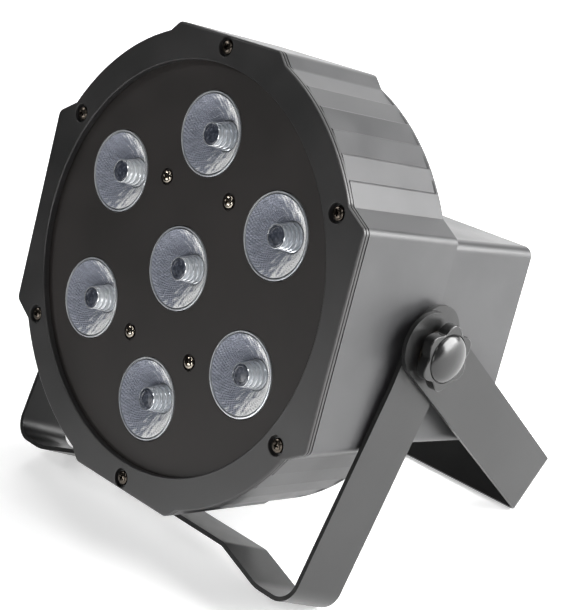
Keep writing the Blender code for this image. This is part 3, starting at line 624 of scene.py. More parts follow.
def lobed_outline(inset=0.0, grooves=0.0):
    """The can's outline, anticlockwise from the right lobe. Its round quarters are flat strips, and
    grooves is how deep the step between two strips is."""
    radius = ROUND_RADIUS - inset
    side = SIDE_HALF - inset
    top = TOP_HALF - inset
    side_flank = SIDE_FLANK_HALF - inset / 2
    top_flank = TOP_FLANK_HALF - inset / 2
    side_kink = (sqrt(radius**2 - side_flank**2), side_flank)
    top_kink = (top_flank, sqrt(radius**2 - top_flank**2))
    side_corner = (side, SIDE_FLAT_HALF - inset / 2)
    top_corner = (TOP_FLAT_HALF - inset / 2, top)
    rounding = max(LOBE_CORNER - inset / 2, 1.0)
    quarter = rounded_corner((side, 0), side_corner, side_kink, rounding)
    first = atan2(side_kink[1], side_kink[0])
    last = atan2(top_kink[1], top_kink[0])
    strips = GROOVES + 1
    ends = [first + (last - first) * i / strips for i in range(strips + 1)]
    for i in range(strips):
        quarter += strip_points(radius, ends[i], ends[i + 1], i, grooves)
    quarter += rounded_corner(top_kink, top_corner, (0, top), rounding)
    upper = quarter + [(-x, z) for x, z in reversed(quarter)]
    return upper + [(-x, -z) for x, z in upper]


def strip_points(radius, start, end, index, grooves):
    """One flat strip from angle to angle. It starts in the step that the strip before it ends above."""
    chamfer = STEP_WIDTH / radius
    high = end - (chamfer if index < GROOVES else 0)
    sunk = grooves if index else 0
    points = []
    for i in range(7):
        share = i / 6
        angle = start + (high - start) * share
        flat = radius * cos((high - start) / 2) / cos(angle - (start + high) / 2)
        points.append((angle, (radius - flat) * grooves / STEP_DEPTH + sunk * (1 - share)))
    if index < GROOVES:
        for bend in (22, 45, 67, 90):
            across = 0.95 * sin(radians(bend))
            points.append((high + chamfer * across, grooves * 1.5 * (1 - cos(radians(bend)))))
    return [((radius - cut) * cos(angle), (radius - cut) * sin(angle)) for angle, cut in points]


def row(outline, y, scale=1.0):
    """An outline in x and z as points at y."""
    return [(x * scale, y, z * scale) for x, z in outline]


def draft(y):
    """How much the shell has narrowed at y, as a share of its front."""
    front = can_box("main_housing")[0].y
    return 1 + (SHELL_DRAFT - 1) * (y - front) / (SHELL_REAR - front)


def make_bezel():
    """A plate with a rounded front edge, a fine step round its side and a round opening."""
    low, high = can_box("front_bezel")
    thick = high.y - low.y
    profile = [(inset, y) for y, inset in rim(0.9, range(0, 91, 15))]
    profile += [(0, 1.3), (0.35, 1.45), (0.35, 1.75), (0, 1.9), (0, thick - 0.2), (0.2, thick)]
    rows = [row(lobed_outline(inset), y) for inset, y in profile]
    bezel = new_object("bezel_plate", loft("bezel_plate", rows))
    lip = 0.6
    mouth = [(0, -1), (BEZEL_OPENING + lip + 0.6, -1), (BEZEL_OPENING + lip + 0.6, 0.02)]
    mouth += [(BEZEL_OPENING + out, y) for y, out in rim(lip, (12, 30, 50, 70, 90))]
    mouth += [(BEZEL_OPENING, thick + 1), (0, thick + 1)]
    boolean(bezel, lathe("mouth", mouth, 192))
    for index in range(6):
        middle = centre_of(f"bezel_screw_{index + 1}")
        sink = lathe("sink", sink_profile(BEZEL_SINK_RADIUS, BEZEL_SINK, thick + 2), 40)
        boolean(bezel, sink, matrix=in_line(middle))
    dress(smooth(bezel, 32), "bezel", "housing", "front_bezel")


def sink_profile(radius, depth, through):
    """A round recess with a softened mouth, and the screw's hole through its floor."""
    return [
        (0, -1), (radius + 0.35, -1), (radius + 0.35, -0.01), (radius + 0.1, 0.12), (radius, 0.4),
        (radius, depth), (SCREW_HOLE, depth), (SCREW_HOLE, through), (0, through),
    ]


def make_panel():
    low, high = can_box("lens_panel")
    panel = new_object("panel_disc", slab("panel_disc", lobed_outline(PANEL_INSET), low.y, high.y))
    for index in range(7):
        lens_low, middle, lens_high = extent(f"lens_{index + 1}")
        radius = (lens_high.x - lens_low.x) / 2 + 0.35
        hole = [
            (0, low.y - 1), (radius + 0.3, low.y - 1), (radius + 0.3, low.y), (radius + 0.08, low.y + 0.1),
            (radius, low.y + 0.3), (radius, high.y + 1), (0, high.y + 1),
        ]
        boolean(panel, lathe("hole", hole, 96), matrix=in_line(middle))
    for index in range(4):
        middle = centre_of(f"panel_screw_{index + 1}")
        sink = lathe("sink", sink_profile(PANEL_SINK_RADIUS, PANEL_SINK, 4), 40)
        boolean(panel, sink, matrix=at(middle.x, low.y, middle.z))
    dress(smooth(panel, 32), "panel", "housing", "lens_panel")


def shell_rows(inset, front, rear, grooved):
    """Rows of the round shell from front to rear. Its outside has stepped strips and a rounded rim."""
    stations = [(front, 1.0), (STEP_STOP, 1.0), (STEP_STOP + 0.7, 0.0)] if grooved else [(front, 0.0)]
    rows = [row(lobed_outline(inset, STEP_DEPTH * share), y, draft(y)) for y, share in stations]
    for shrink, back in rim(HOUSING_EDGE if grooved else 0.0):
        y = rear - back
        rows.append(row(lobed_outline(inset + shrink), y, draft(y)))
    return rows


def box_limits():
    """The box's half width, bottom and top: its walls stand round the rear panel."""
    low, high = can_box("rear_panel")
    return high.x + WALL + REAR_PANEL_GAP, low.z - WALL - REAR_PANEL_GAP, high.z + WALL + REAR_PANEL_GAP


def box_rows(inset, front, rear, edge):
    """Rows of the housing's box from front to rear, its rear rim rounded."""
    half, bottom, top = box_limits()
    rows = []
    for shrink, y in [(inset, front)] + [(inset + shrink, rear - back) for shrink, back in rim(edge)]:
        corners = (-half + shrink, bottom + shrink), (half - shrink, top - shrink)
        rows.append(row(rounded_rectangle(*corners, max(BOX_CORNER - shrink, 1.0), 10), y))
    return rows


def make_housing():
    """The round shell and the box as one hollow piece, with vents and a bore at each pivot."""
    low, high = can_box("main_housing")
    shell = new_object("housing_shell", loft("housing_shell", shell_rows(0, low.y, SHELL_REAR, True)))
    boolean(shell, loft("box", box_rows(0, 40, high.y, HOUSING_EDGE)), "UNION")
    boolean(shell, loft("inside", shell_rows(WALL, low.y - 2, SHELL_REAR - WALL, False)))
    boolean(shell, loft("inside", box_rows(WALL, SHELL_REAR - 12, high.y + 2, 0)))
    top = box_limits()[2]
    middle = (VENT_FRONT + VENT_REAR) / 2
    half = (VENT_REAR - VENT_FRONT) / 2
    for index in range(VENT_COUNT):
        x = (index - (VENT_COUNT - 1) / 2) * VENT_PITCH
        slot = rectangle((x, middle), (VENT_HALF, half), half * 0.98, 6)
        boolean(shell, loft("vent", [[(px, py, top + dz) for px, py in slot] for dz in (-5, 3)]))
    for side in (-1, 1):
        boolean(shell, rod(7.0, 80, 110, 32), matrix=facing_side(side))
    dress(smooth(shell, 24), "housing", "housing", "main_housing")


# ---- screws

def cross_cutter(name, reach, width, depth):
    """The recess that a cross-head driver fits: two tapered blades."""
    rows = []
    for y, share in ((-0.6, 1.0), (depth, 0.35)):
        a, b = reach * share, width / 2 * (0.6 + 0.4 * share)
        rows.append([
            (a, y, -b), (a, y, b), (b, y, b), (b, y, a), (-b, y, a), (-b, y, b),
            (-a, y, b), (-a, y, -b), (-b, y, -b), (-b, y, -a), (b, y, -a), (b, y, -b),
        ])
    return loft(name, rows)


def screw_mesh(radius, height, length):
    """A pan head with a cross recess, its underside at y = 0, and a short shank."""
    crown = height * 0.62
    profile = [(0, length), (1.4, length), (1.4, 0), (radius - 0.15, 0), (radius, -0.15)]
    for angle in range(0, 91, 10):
        across = radius * cos(radians(angle)) ** 0.8
        profile.append((across, -height + crown - crown * sin(radians(angle)) ** 0.9))
    head = new_object("screw", lathe("screw", profile, 48))
    cross = cross_cutter("cross", radius * 0.62, radius * 0.27, height * 0.75)
    boolean(head, cross, matrix=at(0, -height, 0))
    soften(head, 0.08)
    mesh = head.data
    bpy.data.objects.remove(head, do_unlink=True)
    return mesh


def make_screws():
    """Each group's heads, every one turned by chance about its own axis."""
    turns = random.Random(7)
    groups = (
        ("bezel_screw", 6, "bronze", 1.9, 0),
        ("panel_screw", 4, "nickel", 2.1, 0),
        ("rear_screw", 4, "bronze", 2.0, pi),
    )
    for group, count, paint, height, about in groups:
        low, high = can_box(f"{group}_1")
        radius = (high.x - low.x) / 2
        shared = screw_mesh(radius * 0.86, height, high.y - low.y - height)
        for index in range(count):
            name = f"{group}_{index + 1}"
            low, middle, high = extent(name)
            seat = high.y - height if about else low.y + height
            turned = Matrix.Rotation(about, 4, "Z") @ Matrix.Rotation(turns.uniform(0, pi), 4, "Y")
            where = at(middle.x, seat, middle.z) @ turned
            screw = new_object(f"{group}_head_{index + 1}", shared.copy(), where)
            dress(screw, paint, "housing", name)


# ---- lenses

def bowl_profile(radius):
    """The faceted bowl behind a lens's face, then its back. Each point has a radius, a depth and the
    height of the facets there."""
    rows = 34
    outer, inner = radius - 1.3, FOOT_RADIUS + 0.5
    front = []
    for i in range(rows + 1):
        share = i / rows
        lift = (0, 0.42, -0.21, -0.21)[1 + i % 3 if 0 < i < rows else 0]
        front.append((outer + (inner - outer) * share, 0.25 + (OPTIC_DEPTH - 0.25) * share**0.9, lift))
    return front + [(inner, OPTIC_DEPTH + 0.7, 0), (outer - 0.3, 1.3, 0)]


def clear_profile(radius):
    """The clear body: its rim, the foot round the bowl, the stepped column in the middle and the back."""
    rim = [(radius, 3.0), (radius, 0.15), (radius - 0.15, 0), (radius - 0.65, 0), (radius - 0.75, 1.0),
           (radius - 1.2, 1.7), (FOOT_RADIUS + 0.9, OPTIC_DEPTH + 1.9), (FOOT_RADIUS, OPTIC_DEPTH + 1.4)]
    column = []
    for i in range(4):
        depth = OPTIC_DEPTH - 0.3 - 2.25 * i
        across = FOOT_RADIUS - 0.4 * i
        column += [(across, depth), (across - 0.2, depth - 0.2), (across - 0.8, depth - 0.3),
                   (across - 0.8, depth - 1.1), (across - 0.45, depth - 1.2)]
    column += [(DISC_RADIUS + 0.25, 0.6), (DISC_RADIUS + 0.05, 0.45), (DISC_RADIUS, 0.9)]
    back = [(DISC_RADIUS - 1.5, 2.0), (DISC_RADIUS - 1.5, OPTIC_DEPTH + 4.0), (8.6, OPTIC_DEPTH + 4.4),
            (radius - 2.5, 4.4)]
    return rim + column + back


def faceted(name, profile, rays, steps):
    """A closed profile of (radius, depth, facet height) turned about y, with the facets in rays."""
    rows = []
    for across, depth, facet in profile:
        loop = []
        for i in range(steps):
            angle = 2 * pi * i / steps
            lift = facet * cos(rays * angle)
            loop.append((across * cos(angle), depth - lift, across * sin(angle)))
        rows.append(loop)
    return loft(name, rows, ring=True)


def make_lenses():
    """Each lens is a faceted optic, the clear body round it and a dark disc in the middle."""
    low, high = can_box("lens_7")
    radius = (high.x - low.x) / 2
    optic_mesh = shaded(faceted("optic", bowl_profile(radius), RAYS, RAYS * 4), 60)
    clear_mesh = shaded(lathe("clear", clear_profile(radius), 96, ring=True), 35)
    disc = [
        (0, 1.9), (DISC_RADIUS - 0.2, 1.9), (DISC_RADIUS - 0.2, 0.75), (DISC_RADIUS - 0.7, 0.5),
        (3.4, 0.62), (3.2, 0.95), (1.4, 0.85), (0, 0.8),
    ]
    disc_mesh = shaded(lathe("disc", disc, 64), 50)
    for index in range(7):
        name = f"lens_{index + 1}"
        low, middle, high = extent(name)
        where = at(middle.x, low.y, middle.z)
        optic = new_object(f"lens_optic_{index + 1}", optic_mesh.copy(), where)
        dress(optic, "optic", "housing", name)
        clear = new_object(f"lens_body_{index + 1}", clear_mesh.copy(), where)
        dress(clear, "clear", "housing")
        well = new_object(f"lens_well_{index + 1}", disc_mesh.copy(), where)
        dress(well, "well", "housing")


# ---- straps

def strap_path(points, radii):
    """A bent strap's middle line as points, with a fillet at each inner point."""
    path = [points[0]]
    for index in range(1, len(points) - 1):
        path += rounded_corner(points[index - 1], points[index], points[index + 1], radii[index - 1], 14)
    path.append(points[-1])
    return path


def strap_outline(path, thick):
    """The closed outline of a strap of this thickness about a path."""
    sides = ([], [])
    for index, point in enumerate(path):
        before = Vector(path[max(index - 1, 0)])
        after = Vector(path[min(index + 1, len(path) - 1)])
        here = Vector(point)
        directions = [d.normalized() for d in (here - before, after - here) if d.length > 1e-6]
        mean = sum(directions, Vector((0, 0))).normalized()
        normal = Vector((-mean.y, mean.x)) / max(mean.dot(directions[0]), 0.5)
        for side, sign in zip(sides, (1, -1)):
            side.append(tuple(here + normal * sign * thick / 2))
    return sides[0] + sides[1][::-1]


def make_strap(name, half_path, radii, tilt, body):
    """A U of strap with round ears. half_path runs from the right ear to the bar's middle."""
    right = strap_path(half_path, radii)[:-1]
    path = [(x, -down) for x, down in right] + [(-x, -down) for x, down in reversed(right)]
    outline = strap_outline(path, STRAP_THICK)
    half = STRAP_WIDTH / 2
    rows = [[(x, across, z) for x, z in outline] for across in (-half, half)]
    strap = new_object(name, loft(name, rows), PIVOT @ Matrix.Rotation(radians(tilt), 4, "X"))
    ear = [(half * cos(pi * i / 32), EAR_BEYOND + half * sin(pi * i / 32)) for i in range(33)]
    ear += [(-half - 1, EAR_BEYOND), (-half - 1, -240), (half + 1, -240), (half + 1, EAR_BEYOND)]
    template = loft("template", [[(x, y, z) for y, z in ear] for x in (-130, 130)])
    boolean(strap, template, "INTERSECT")
    boolean(strap, rod(EAR_HOLE, -130, 130, 32), matrix=Matrix.Rotation(pi / 2, 4, "Z"))
    bar_hole = at(0, 0, -half_path[-1][1]) @ Matrix.Rotation(pi / 2, 4, "X")
    boolean(strap, rod(CLAMP_HOLE, -8, 8, 48), matrix=bar_hole)
    dress(soften(strap, 0.3, 3), "strap", body, body)


def make_straps():
    """Both brackets, their paths as (x, down) from the pivot."""
    top = -EAR_BEYOND - STRAP_WIDTH / 2 - 1
    middle = can_box("front_bracket")[1].x - STRAP_THICK / 2
    foot = FRONT_FOOT - STRAP_THICK / 2
    bar = FRONT_BAR - STRAP_THICK / 2
    front = [
        (middle, top), (middle, FRONT_LEG_START), (middle - FRONT_LEG_LEAN, foot),
        (FRONT_FOOT_IN, foot), (FRONT_BAR_BEND, bar), (0, bar),
    ]
    make_strap("front_strap", front, FRONT_FILLETS, FRONT_TILT, "front_bracket")
    middle = can_box("rear_bracket")[1].x - STRAP_THICK / 2
    length = REAR_LENGTH - STRAP_THICK / 2
    rear = [(middle, top), (middle, length), (0, length)]
    make_strap("rear_strap", rear, REAR_FILLETS, REAR_TILT, "rear_bracket")


# ---- clamp knobs

def round_loop(radius, height, steps=144):
    turns = [2 * pi * i / steps for i in range(steps)]
    return [(radius * cos(turn), height, radius * sin(turn)) for turn in turns]


def lobed_loop(inset, height, steps=144):
    points = []
    for i in range(steps):
        angle = 2 * pi * i / steps
        wave = ((1 + cos(KNOB_LOBES * angle)) / 2) ** 0.7
        radius = KNOB_VALLEY_RADIUS + (KNOB_LOBE_RADIUS - KNOB_VALLEY_RADIUS) * wave - inset
        points.append((radius * cos(angle), height, radius * sin(angle)))
    return points


def knob_mesh(name, thick, total):
    """The knob along y from its foot: a round hub, the lobed grip, its flat face and a domed cap."""
    hub = 9.6
    edge = 0.6
    rows = [round_loop(1e-5, 0), round_loop(hub - 0.3, 0), round_loop(hub, 0.3), round_loop(hub, 0.9)]
    rows += [lobed_loop(inset, 0.9 + up) for up, inset in rim(edge)]
    rows += [lobed_loop(inset, thick - down) for inset, down in rim(edge)]
    dome = KNOB_DOME_RADIUS
    foot = thick - 0.45
    rows += [round_loop(dome + 0.3, thick), round_loop(dome + 0.15, foot), round_loop(dome, foot)]
    for angle in range(5, 86, 5):
        rows.append(round_loop(dome * cos(radians(angle)), foot + (total - foot) * sin(radians(angle))))
    rows.append(round_loop(1e-5, total))
    return loft(name, rows, caps=False)


def facing_side(side):
    """From along y to along x, outwards on a side."""
    return PIVOT @ Matrix.Rotation(-side * pi / 2, 4, "Z")


def lobe_angle(name, turn):
    """The angle about the pivot at which one of the knob's lobes stands."""
    into = (CAN @ turn).inverted()
    points = [into @ vertex.co for vertex in frame["nodes"][name].data.vertices]
    tip = max(points, key=lambda point: point.x**2 + point.z**2)
    return atan2(tip.z, tip.x)


def reach(node_name):
    """How near the can's middle and how far out a node stands along x."""
    low, high = can_box(node_name)
    return min(abs(low.x), abs(high.x)), max(abs(low.x), abs(high.x))


def make_ring(name, node_name, side, paint, body, edge):
    """A washer or spacer with its outer and one inner edge cut back."""
    low, high = can_box(node_name)
    near, far = reach(node_name)
    radius = (high.z - low.z) / 2
    profile = [
        (WASHER_HOLE, near), (radius - edge, near), (radius, near + edge), (radius, far - edge),
        (radius - edge, far), (WASHER_HOLE + edge, far), (WASHER_HOLE, far - edge),
    ]
    made = new_object(name, lathe(name, profile, 64, ring=True), facing_side(side))
    dress(smooth(made), paint, body, node_name)


def make_clamp(side, word):
    inner, outer = reach(f"clamp_knob_{word}")
    turn = facing_side(side)
    spin = Matrix.Rotation(-lobe_angle(f"clamp_knob_{word}", turn), 4, "Y")
    shape = knob_mesh("knob", KNOB_THICK, outer - inner)
    knob = new_object(f"knob_{word}", shape, turn @ at(0, inner, 0) @ spin)
    dress(smooth(knob, 34), "knob", f"{word}_knob", f"clamp_knob_{word}")
    washer = f"{word}_washer"
    make_ring(f"washer_{word}", f"clamp_washer_{word}", side, "bronze", washer, 0.15)
    make_ring(f"spacer_{word}", f"pivot_spacer_{word}", side, "socket", "housing", 0.3)
    thread = thread_mesh("stud", STUD_RADIUS, *reach(f"clamp_stud_{word}"))
    stud = new_object(f"stud_{word}", thread, turn)
    dress(smooth(stud), "nickel", f"{word}_knob", f"clamp_stud_{word}")


def thread_mesh(name, radius, near, far, pitch=1.25):
    """A threaded rod as close rings of crests and roots."""
    profile = [(0, near), (radius - 0.8, near)]
    y = near + 0.4
    while y + pitch < far:
        profile += [(radius - 0.65, y), (radius, y + pitch / 2)]
        y += pitch
    return lathe(name, profile + [(radius - 0.65, y), (radius - 0.65, far), (0, far)], 32)


# ---- rear panel

def make_rear_panel():
    low, high = can_box("rear_panel")
    plate = face_plate("rear_plate", "rear_panel", 2.2)
    for centre, half, radius in panel_openings():
        outline = rectangle(centre, half, radius, 6)
        boolean(plate, slab("cut", outline, low.y - 1, high.y + 1))
    dress(soften(plate, 0.25), "strap", "housing", "rear_panel")


def panel_openings():
    """The rear panel's openings: (centre, half width and height, corner radius)."""
    cuts = [
        ("power_inlet", 0, (13.8, 11.0), 1.5),
        ("fuse_drawer", 0, (9.3, 5.3), 0.8),
        ("display_window", 0, (20.3, 8.3), 0.8),
        ("dmx_in", 0, (12.0, 12.0), 11.98),
        ("dmx_out", 0, (12.0, 12.0), 11.98),
    ]
    cuts += [(f"menu_button_{index + 1}", 0, (3.8, 3.8), 3.78) for index in range(4)]
    for offset in [(index - 2) * 5.6 for index in range(5)]:
        cuts.append(("fan_frame", offset, (1.5, sqrt(15.5**2 - offset**2)), 1.48))
    cuts += [(f"rear_screw_{index + 1}", 0, (SCREW_HOLE, SCREW_HOLE), 1.78) for index in range(4)]
    found = []
    for name, offset, half, radius in cuts:
        middle = centre_of(name)
        found.append(((middle.x + offset, middle.z), half, radius))
    return found


def make_controls():
    glass = face_plate("display_glass", "display_window", 0.6, 0.15)
    dress(smooth(glass), "window", "housing", "display_window")
    for index in range(4):
        name = f"menu_button_{index + 1}"
        low, middle, high = extent(name)
        radius = 3.4
        flange = (high.x - low.x) / 2
        tall = high.y - low.y
        profile = [(0, 0), (flange, 0), (flange, 0.8), (radius, 0.8), (radius, tall - 0.7)]
        profile += [(radius - inset, tall - down) for inset, down in rim(0.6, (30, 60, 90))]
        profile += [(1.6, tall - 0.15), (0, tall - 0.3)]
        cap = new_object(f"button_cap_{index + 1}", lathe("cap", profile, 40), at(middle.x, low.y, middle.z))
        dress(smooth(cap), "knob", name, name)


def make_power_inlet():
    low, middle, high = extent("power_inlet")
    centre = (middle.x, middle.z)
    face = can_box("rear_panel")[1].y
    inlet = face_plate("mains_inlet", "power_inlet", 2.0, 0.4, face + 0.3)
    body = rectangle(centre, (13.4, 10.6), 1.0)
    boolean(inlet, slab("body", body, low.y, face + 1.0), "UNION")
    socket = rounded_polygon(c14_outline(centre), 1.2, 5)
    boolean(inlet, slab("socket", socket, face - 14, high.y + 2))
    dress(soften(inlet, 0.25), "socket", "housing", "power_inlet")
    for index, (x, z) in enumerate(((-7.0, -2.0), (0.0, 2.0), (7.0, -2.0))):
        blade = rectangle((middle.x + x, middle.z + z), (1.0, 2.0), 0.3, 3)
        pin = new_object(f"inlet_pin_{index + 1}", extruded("pin", blade, face - 14.2, face - 3.0, 0.25))
        dress(smooth(pin), "nickel", "housing")


def c14_outline(centre):
    """A mains socket: a rectangle with two cut corners."""
    x, z = centre
    wide, tall, cut_corner = 12.0, 8.4, 4.5
    return [
        (x + wide, z - tall), (x + wide, z + tall - cut_corner), (x + wide - cut_corner, z + tall),
        (x - wide + cut_corner, z + tall), (x - wide, z + tall - cut_corner), (x - wide, z - tall),
    ]


def make_fuse_drawer():
    low, middle, high = extent("fuse_drawer")
    face = can_box("rear_panel")[1].y
    drawer = face_plate("fuse_tray", "fuse_drawer", 1.2, 0.3, face + 0.3)
    body = rectangle((middle.x, middle.z), (9.0, 5.0), 0.6)
    boolean(drawer, slab("body", body, low.y, face + 1.0), "UNION")
    notch = rectangle((middle.x, high.z), (3.0, 1.6), 0.8)
    boolean(drawer, slab("notch", notch, face + 1.2, high.y + 1))
    dress(soften(drawer, 0.2), "socket", "fuse_drawer", "fuse_drawer")


def make_dmx_sockets():
    """A socket with three pins, one with three contacts and a latch, and both their flanges."""
    face = can_box("rear_panel")[1].y
    for word in ("in", "out"):
        low, middle, high = extent(f"dmx_{word}")
        here = in_line(middle)
        socket = face_plate(f"dmx_{word}_socket", f"dmx_{word}", 2.5, 0.3, face + 0.3)
        boolean(socket, rod(11.6, low.y, face + 1.0, 72), "UNION", here)
        for across, up in ((-9.6, 12.2), (9.6, -12.2)):
            recess = rod(1.6, high.y - 0.9, high.y + 1, 24)
            boolean(socket, recess, matrix=at(middle.x + across, 0, middle.z + up))
        if word == "in":
            boolean(socket, rod(9.5, face - 14, face + 4, 72), matrix=here)
        else:
            groove = [(9.0, high.y - 1.2), (10.4, high.y - 1.2), (10.4, high.y + 1), (9.0, high.y + 1)]
            boolean(socket, lathe("groove", groove, 72, ring=True), matrix=here)
            corners = (middle.x - 3.3, middle.z + 8.0), (middle.x + 3.3, middle.z + 11.2)
            boolean(socket, slab("slot", rounded_rectangle(*corners, 0.5, 3), face - 5, high.y + 1))
        for index in range(3):
            angle = radians(90 + 120 * index)
            where = at(middle.x + 3.8 * cos(angle), 0, middle.z + 3.8 * sin(angle))
            if word == "in":
                add_dmx_pin(index + 1, face, where)
            else:
                boolean(socket, contact_mesh(face, high.y), matrix=where)
        dress(soften(socket, 0.15), "socket", "housing", f"dmx_{word}")
    latch = face_plate("latch_tab", "dmx_latch", 0.5, 0.4, steps=4)
    dress(smooth(latch), "nickel", "latch", "dmx_latch")


def contact_mesh(face, outside):
    """A contact's hole with a countersunk mouth."""
    hole = [
        (0, face - 8), (1.3, face - 8), (1.3, outside - 0.3),
        (1.7, outside + 0.1), (1.7, outside + 1), (0, outside + 1),
    ]
    return lathe("contact", hole, 24)


def add_dmx_pin(number, face, where):
    """A pin with a rounded tip, 3 mm inside the rear panel's face."""
    tip = face - 3.0
    profile = [
        (0, face - 14.2), (1.2, face - 14.2), (1.2, tip - 0.9), (0.9, tip - 0.3), (0.4, tip), (0, tip),
    ]
    pin = new_object(f"dmx_pin_{number}", lathe("pin", profile, 24), where)
    dress(smooth(pin, 50), "nickel", "housing")


def make_fan():
    """The fan's frame, and a rotor with curved blades inside it."""
    low, middle, high = extent("fan_frame")
    case = face_plate("fan_case", "fan_frame", 3.0, 0.3)
    boolean(case, rod(16.0, low.y + 1.5, high.y + 1, 64), matrix=in_line(middle))
    dress(smooth(case), "socket", "housing", "fan_frame")
    low, high = can_box("fan_rotor")
    depth = high.y - low.y
    hub = [(0, 0), (5.8, 0), (5.8, depth - 0.8), (5.4, depth - 0.2), (5.0, depth), (0, depth)]
    rotor = new_object("fan_blades", lathe("hub", hub, 48), at(middle.x, low.y, middle.z))
    for index in range(7):
        turn = Matrix.Rotation(2 * pi * index / 7, 4, "Y")
        boolean(rotor, blade_mesh(depth), "UNION", turn)
    dress(smooth(rotor), "socket", "fan", "fan_rotor")


def blade_mesh(depth):
    """A blade that leans and curves from the hub outwards."""
    rows = []
    for i in range(6):
        across = 5.0 + 9.6 * i / 5
        lean = radians(24 + 16 * (1 - i / 5))
        bend = 0.9 * i / 5
        loop = []
        for j in range(7):
            s = -4.2 + 8.4 * j / 6
            y = depth / 2 + s * sin(lean) * 0.62
            loop.append((across, y, s * cos(lean) + bend))
        rows.append(loop + [(x, y + 0.7, z) for x, y, z in reversed(loop)])
    return loft("blade", rows)


# ---- what stays as the frame has it

def paint_inside():
    """The inner parts keep their own shapes and get their materials."""
    plain = {name: "board" for name in ("led_board", "control_board", "driver_board")}
    plain.update(heatsink="aluminium", threaded_insert_right="brass", threaded_insert_left="brass")
    plain.update({f"lens_holder_{index + 1}": "panel" for index in range(7)})
    for name, paint in plain.items():
        obj = frame["nodes"][name]
        for slot in obj.material_slots:
            slot.material = PAINT[paint]
        if not obj.material_slots:
            obj.data.materials.append(PAINT[paint])


# ---- stage

LIT_POINT = (0, 0, 0.1)
# Name, place, point that it faces, size and watts
LIGHTS = (
    ("right", (1.7, 1.3, 0.9), LIT_POINT, (2.0, 1.7), 185),
    ("right rear", (1.0, 2.2, 0.65), LIT_POINT, (0.6, 0.7), 6),
    ("rear", (-1.1, 2.2, 0.8), LIT_POINT, (1.6, 1.4), 13),
    ("top", (0.1, 0.9, 2.1), (0, 0.1, 0.1), (2.0, 1.8), 30),
    ("front left", (-0.7, -1.5, 0.14), LIT_POINT, (0.7, 0.22), 4.6),
    ("front right", (0.8, -1.5, 0.5), LIT_POINT, (0.6, 0.6), 8),
    ("high left", (-1.15, -0.71, 1.1), LIT_POINT, (0.35, 0.35), 4),
    ("glint", (0.3, -1.3, 1.9), LIT_POINT, (0.3, 0.3), 5),
)
FLOOR_SIDE = 8.0
FLOOR_FRONT = -0.8
FLOOR_AHEAD = (0.67, 0.74, 0)


def area_light(name, location, target, size, power):
    data = bpy.data.lights.new(name, "AREA")
    data.shape = "RECTANGLE"
    data.size, data.size_y = size
    data.energy = power
    lamp = in_scene(name, data)
    lamp.location = location
    lamp.rotation_euler = (Vector(target) - Vector(location)).to_track_quat("-Z", "Y").to_euler()


def full_to_camera(tree_owner, amount):
    """A value that is 1 where the camera sees the surface itself, and the amount to every other ray."""
    path = node(tree_owner, "LightPath")
    seen = node(tree_owner, "Math", operation="MAXIMUM")
    link(tree_owner, path, "Is Camera Ray", seen, 0)
    link(tree_owner, amount, "Result", seen, 1)
    return seen


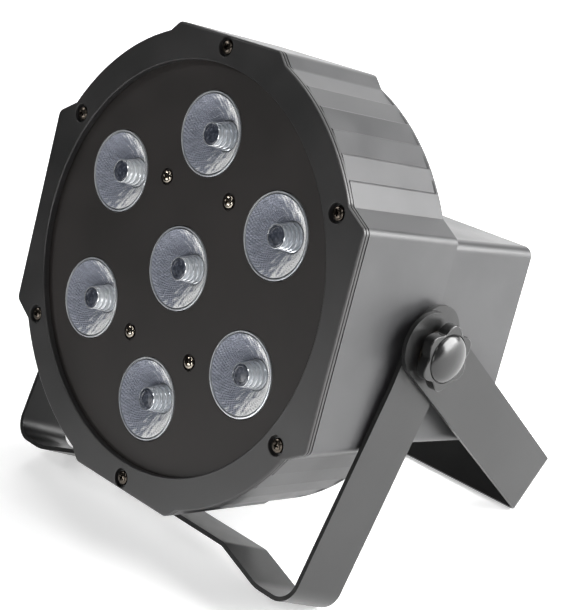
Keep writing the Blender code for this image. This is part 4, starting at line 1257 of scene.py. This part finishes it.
def floor_paint():
    """White to the camera. To the object it is dark in front and bright behind and to the right."""
    made, principled = shader("floor", (0.92, 0.92, 0.92), 0.8)
    principled.inputs["Specular IOR Level"].default_value = 0.0
    place = node(made, "TexCoord")
    ahead = node(made, "VectorMath", operation="DOT_PRODUCT")
    ahead.inputs[1].default_value = FLOOR_AHEAD
    link(made, place, "Object", ahead, 0)
    lit = map_range(made, (-0.5, -0.12, 0.03, 1.0), interpolation_type="SMOOTHSTEP")
    link(made, ahead, "Value", lit, "Value")
    seen = full_to_camera(made, lit)
    for target, most in (("Base Color", 0.92), ("Emission Color", 0.42)):
        link(made, times(made, seen, 0, most), 0, principled, target)
    distance = node(made, "VectorMath", operation="LENGTH")
    link(made, place, "Object", distance, 0)
    far = map_range(made, (0.7, 2.5, 1.0, 3.2), interpolation_type="SMOOTHSTEP")
    link(made, distance, "Value", far, "Value")
    link(made, far, "Result", principled, "Emission Strength")
    return made


def make_floor():
    mesh = bpy.data.meshes.new("floor")
    left, right, front, rear = -FLOOR_SIDE, FLOOR_SIDE, FLOOR_FRONT, FLOOR_SIDE
    corners = [(left, front, 0), (right, front, 0), (right, rear, 0), (left, rear, 0)]
    mesh.from_pydata(corners, [], [(0, 1, 2, 3)])
    mesh.materials.append(floor_paint())
    floor = in_scene("floor", mesh)


def make_world():
    """A surround that is white to the camera, and brighter behind the object than in front."""
    world = bpy.data.worlds.new("studio")
    bpy.context.scene.world = world
    world.use_nodes = True
    background = world.node_tree.nodes["Background"]
    background.inputs["Color"].default_value = (1, 1, 1, 1)
    coordinates = node(world, "TexCoord")
    split = node(world, "SeparateXYZ")
    link(world, coordinates, "Generated", split, "Vector")
    shade = map_range(world, (-0.2, 0.7, 0.015, 0.18), interpolation_type="SMOOTHSTEP")
    link(world, split, "Y", shade, "Value")
    link(world, full_to_camera(world, shade), 0, background, "Strength")


def make_stage():
    make_floor()
    make_world()
    for light in LIGHTS:
        area_light(*light)


def make_camera():
    """The view from the front right, a little above and slightly rolled."""
    data = bpy.data.cameras.new("camera")
    data.lens = 94.8
    data.sensor_width = 36
    data.clip_start = 0.01
    data.clip_end = 50
    camera = in_scene("camera", data)
    forward = Vector((-0.6678, 0.5820, -0.4640)).normalized()
    up = Vector((-0.3116, 0.3474, 0.8844))
    right = forward.cross(up).normalized()
    up = right.cross(forward)
    turn = Matrix((right, up, -forward)).transposed().to_4x4()
    camera.matrix_world = Matrix.Translation((0.5095, -0.4228, 0.4409)) @ turn
    bpy.context.scene.camera = camera


make_camera()
make_bezel()
make_panel()
make_housing()
make_screws()
make_lenses()
make_straps()
make_clamp(1, "right")
make_clamp(-1, "left")
make_rear_panel()
make_controls()
make_power_inlet()
make_fuse_drawer()
make_dmx_sockets()
make_fan()
paint_inside()
make_stage()
bpy.context.scene.view_settings.view_transform = "Standard"
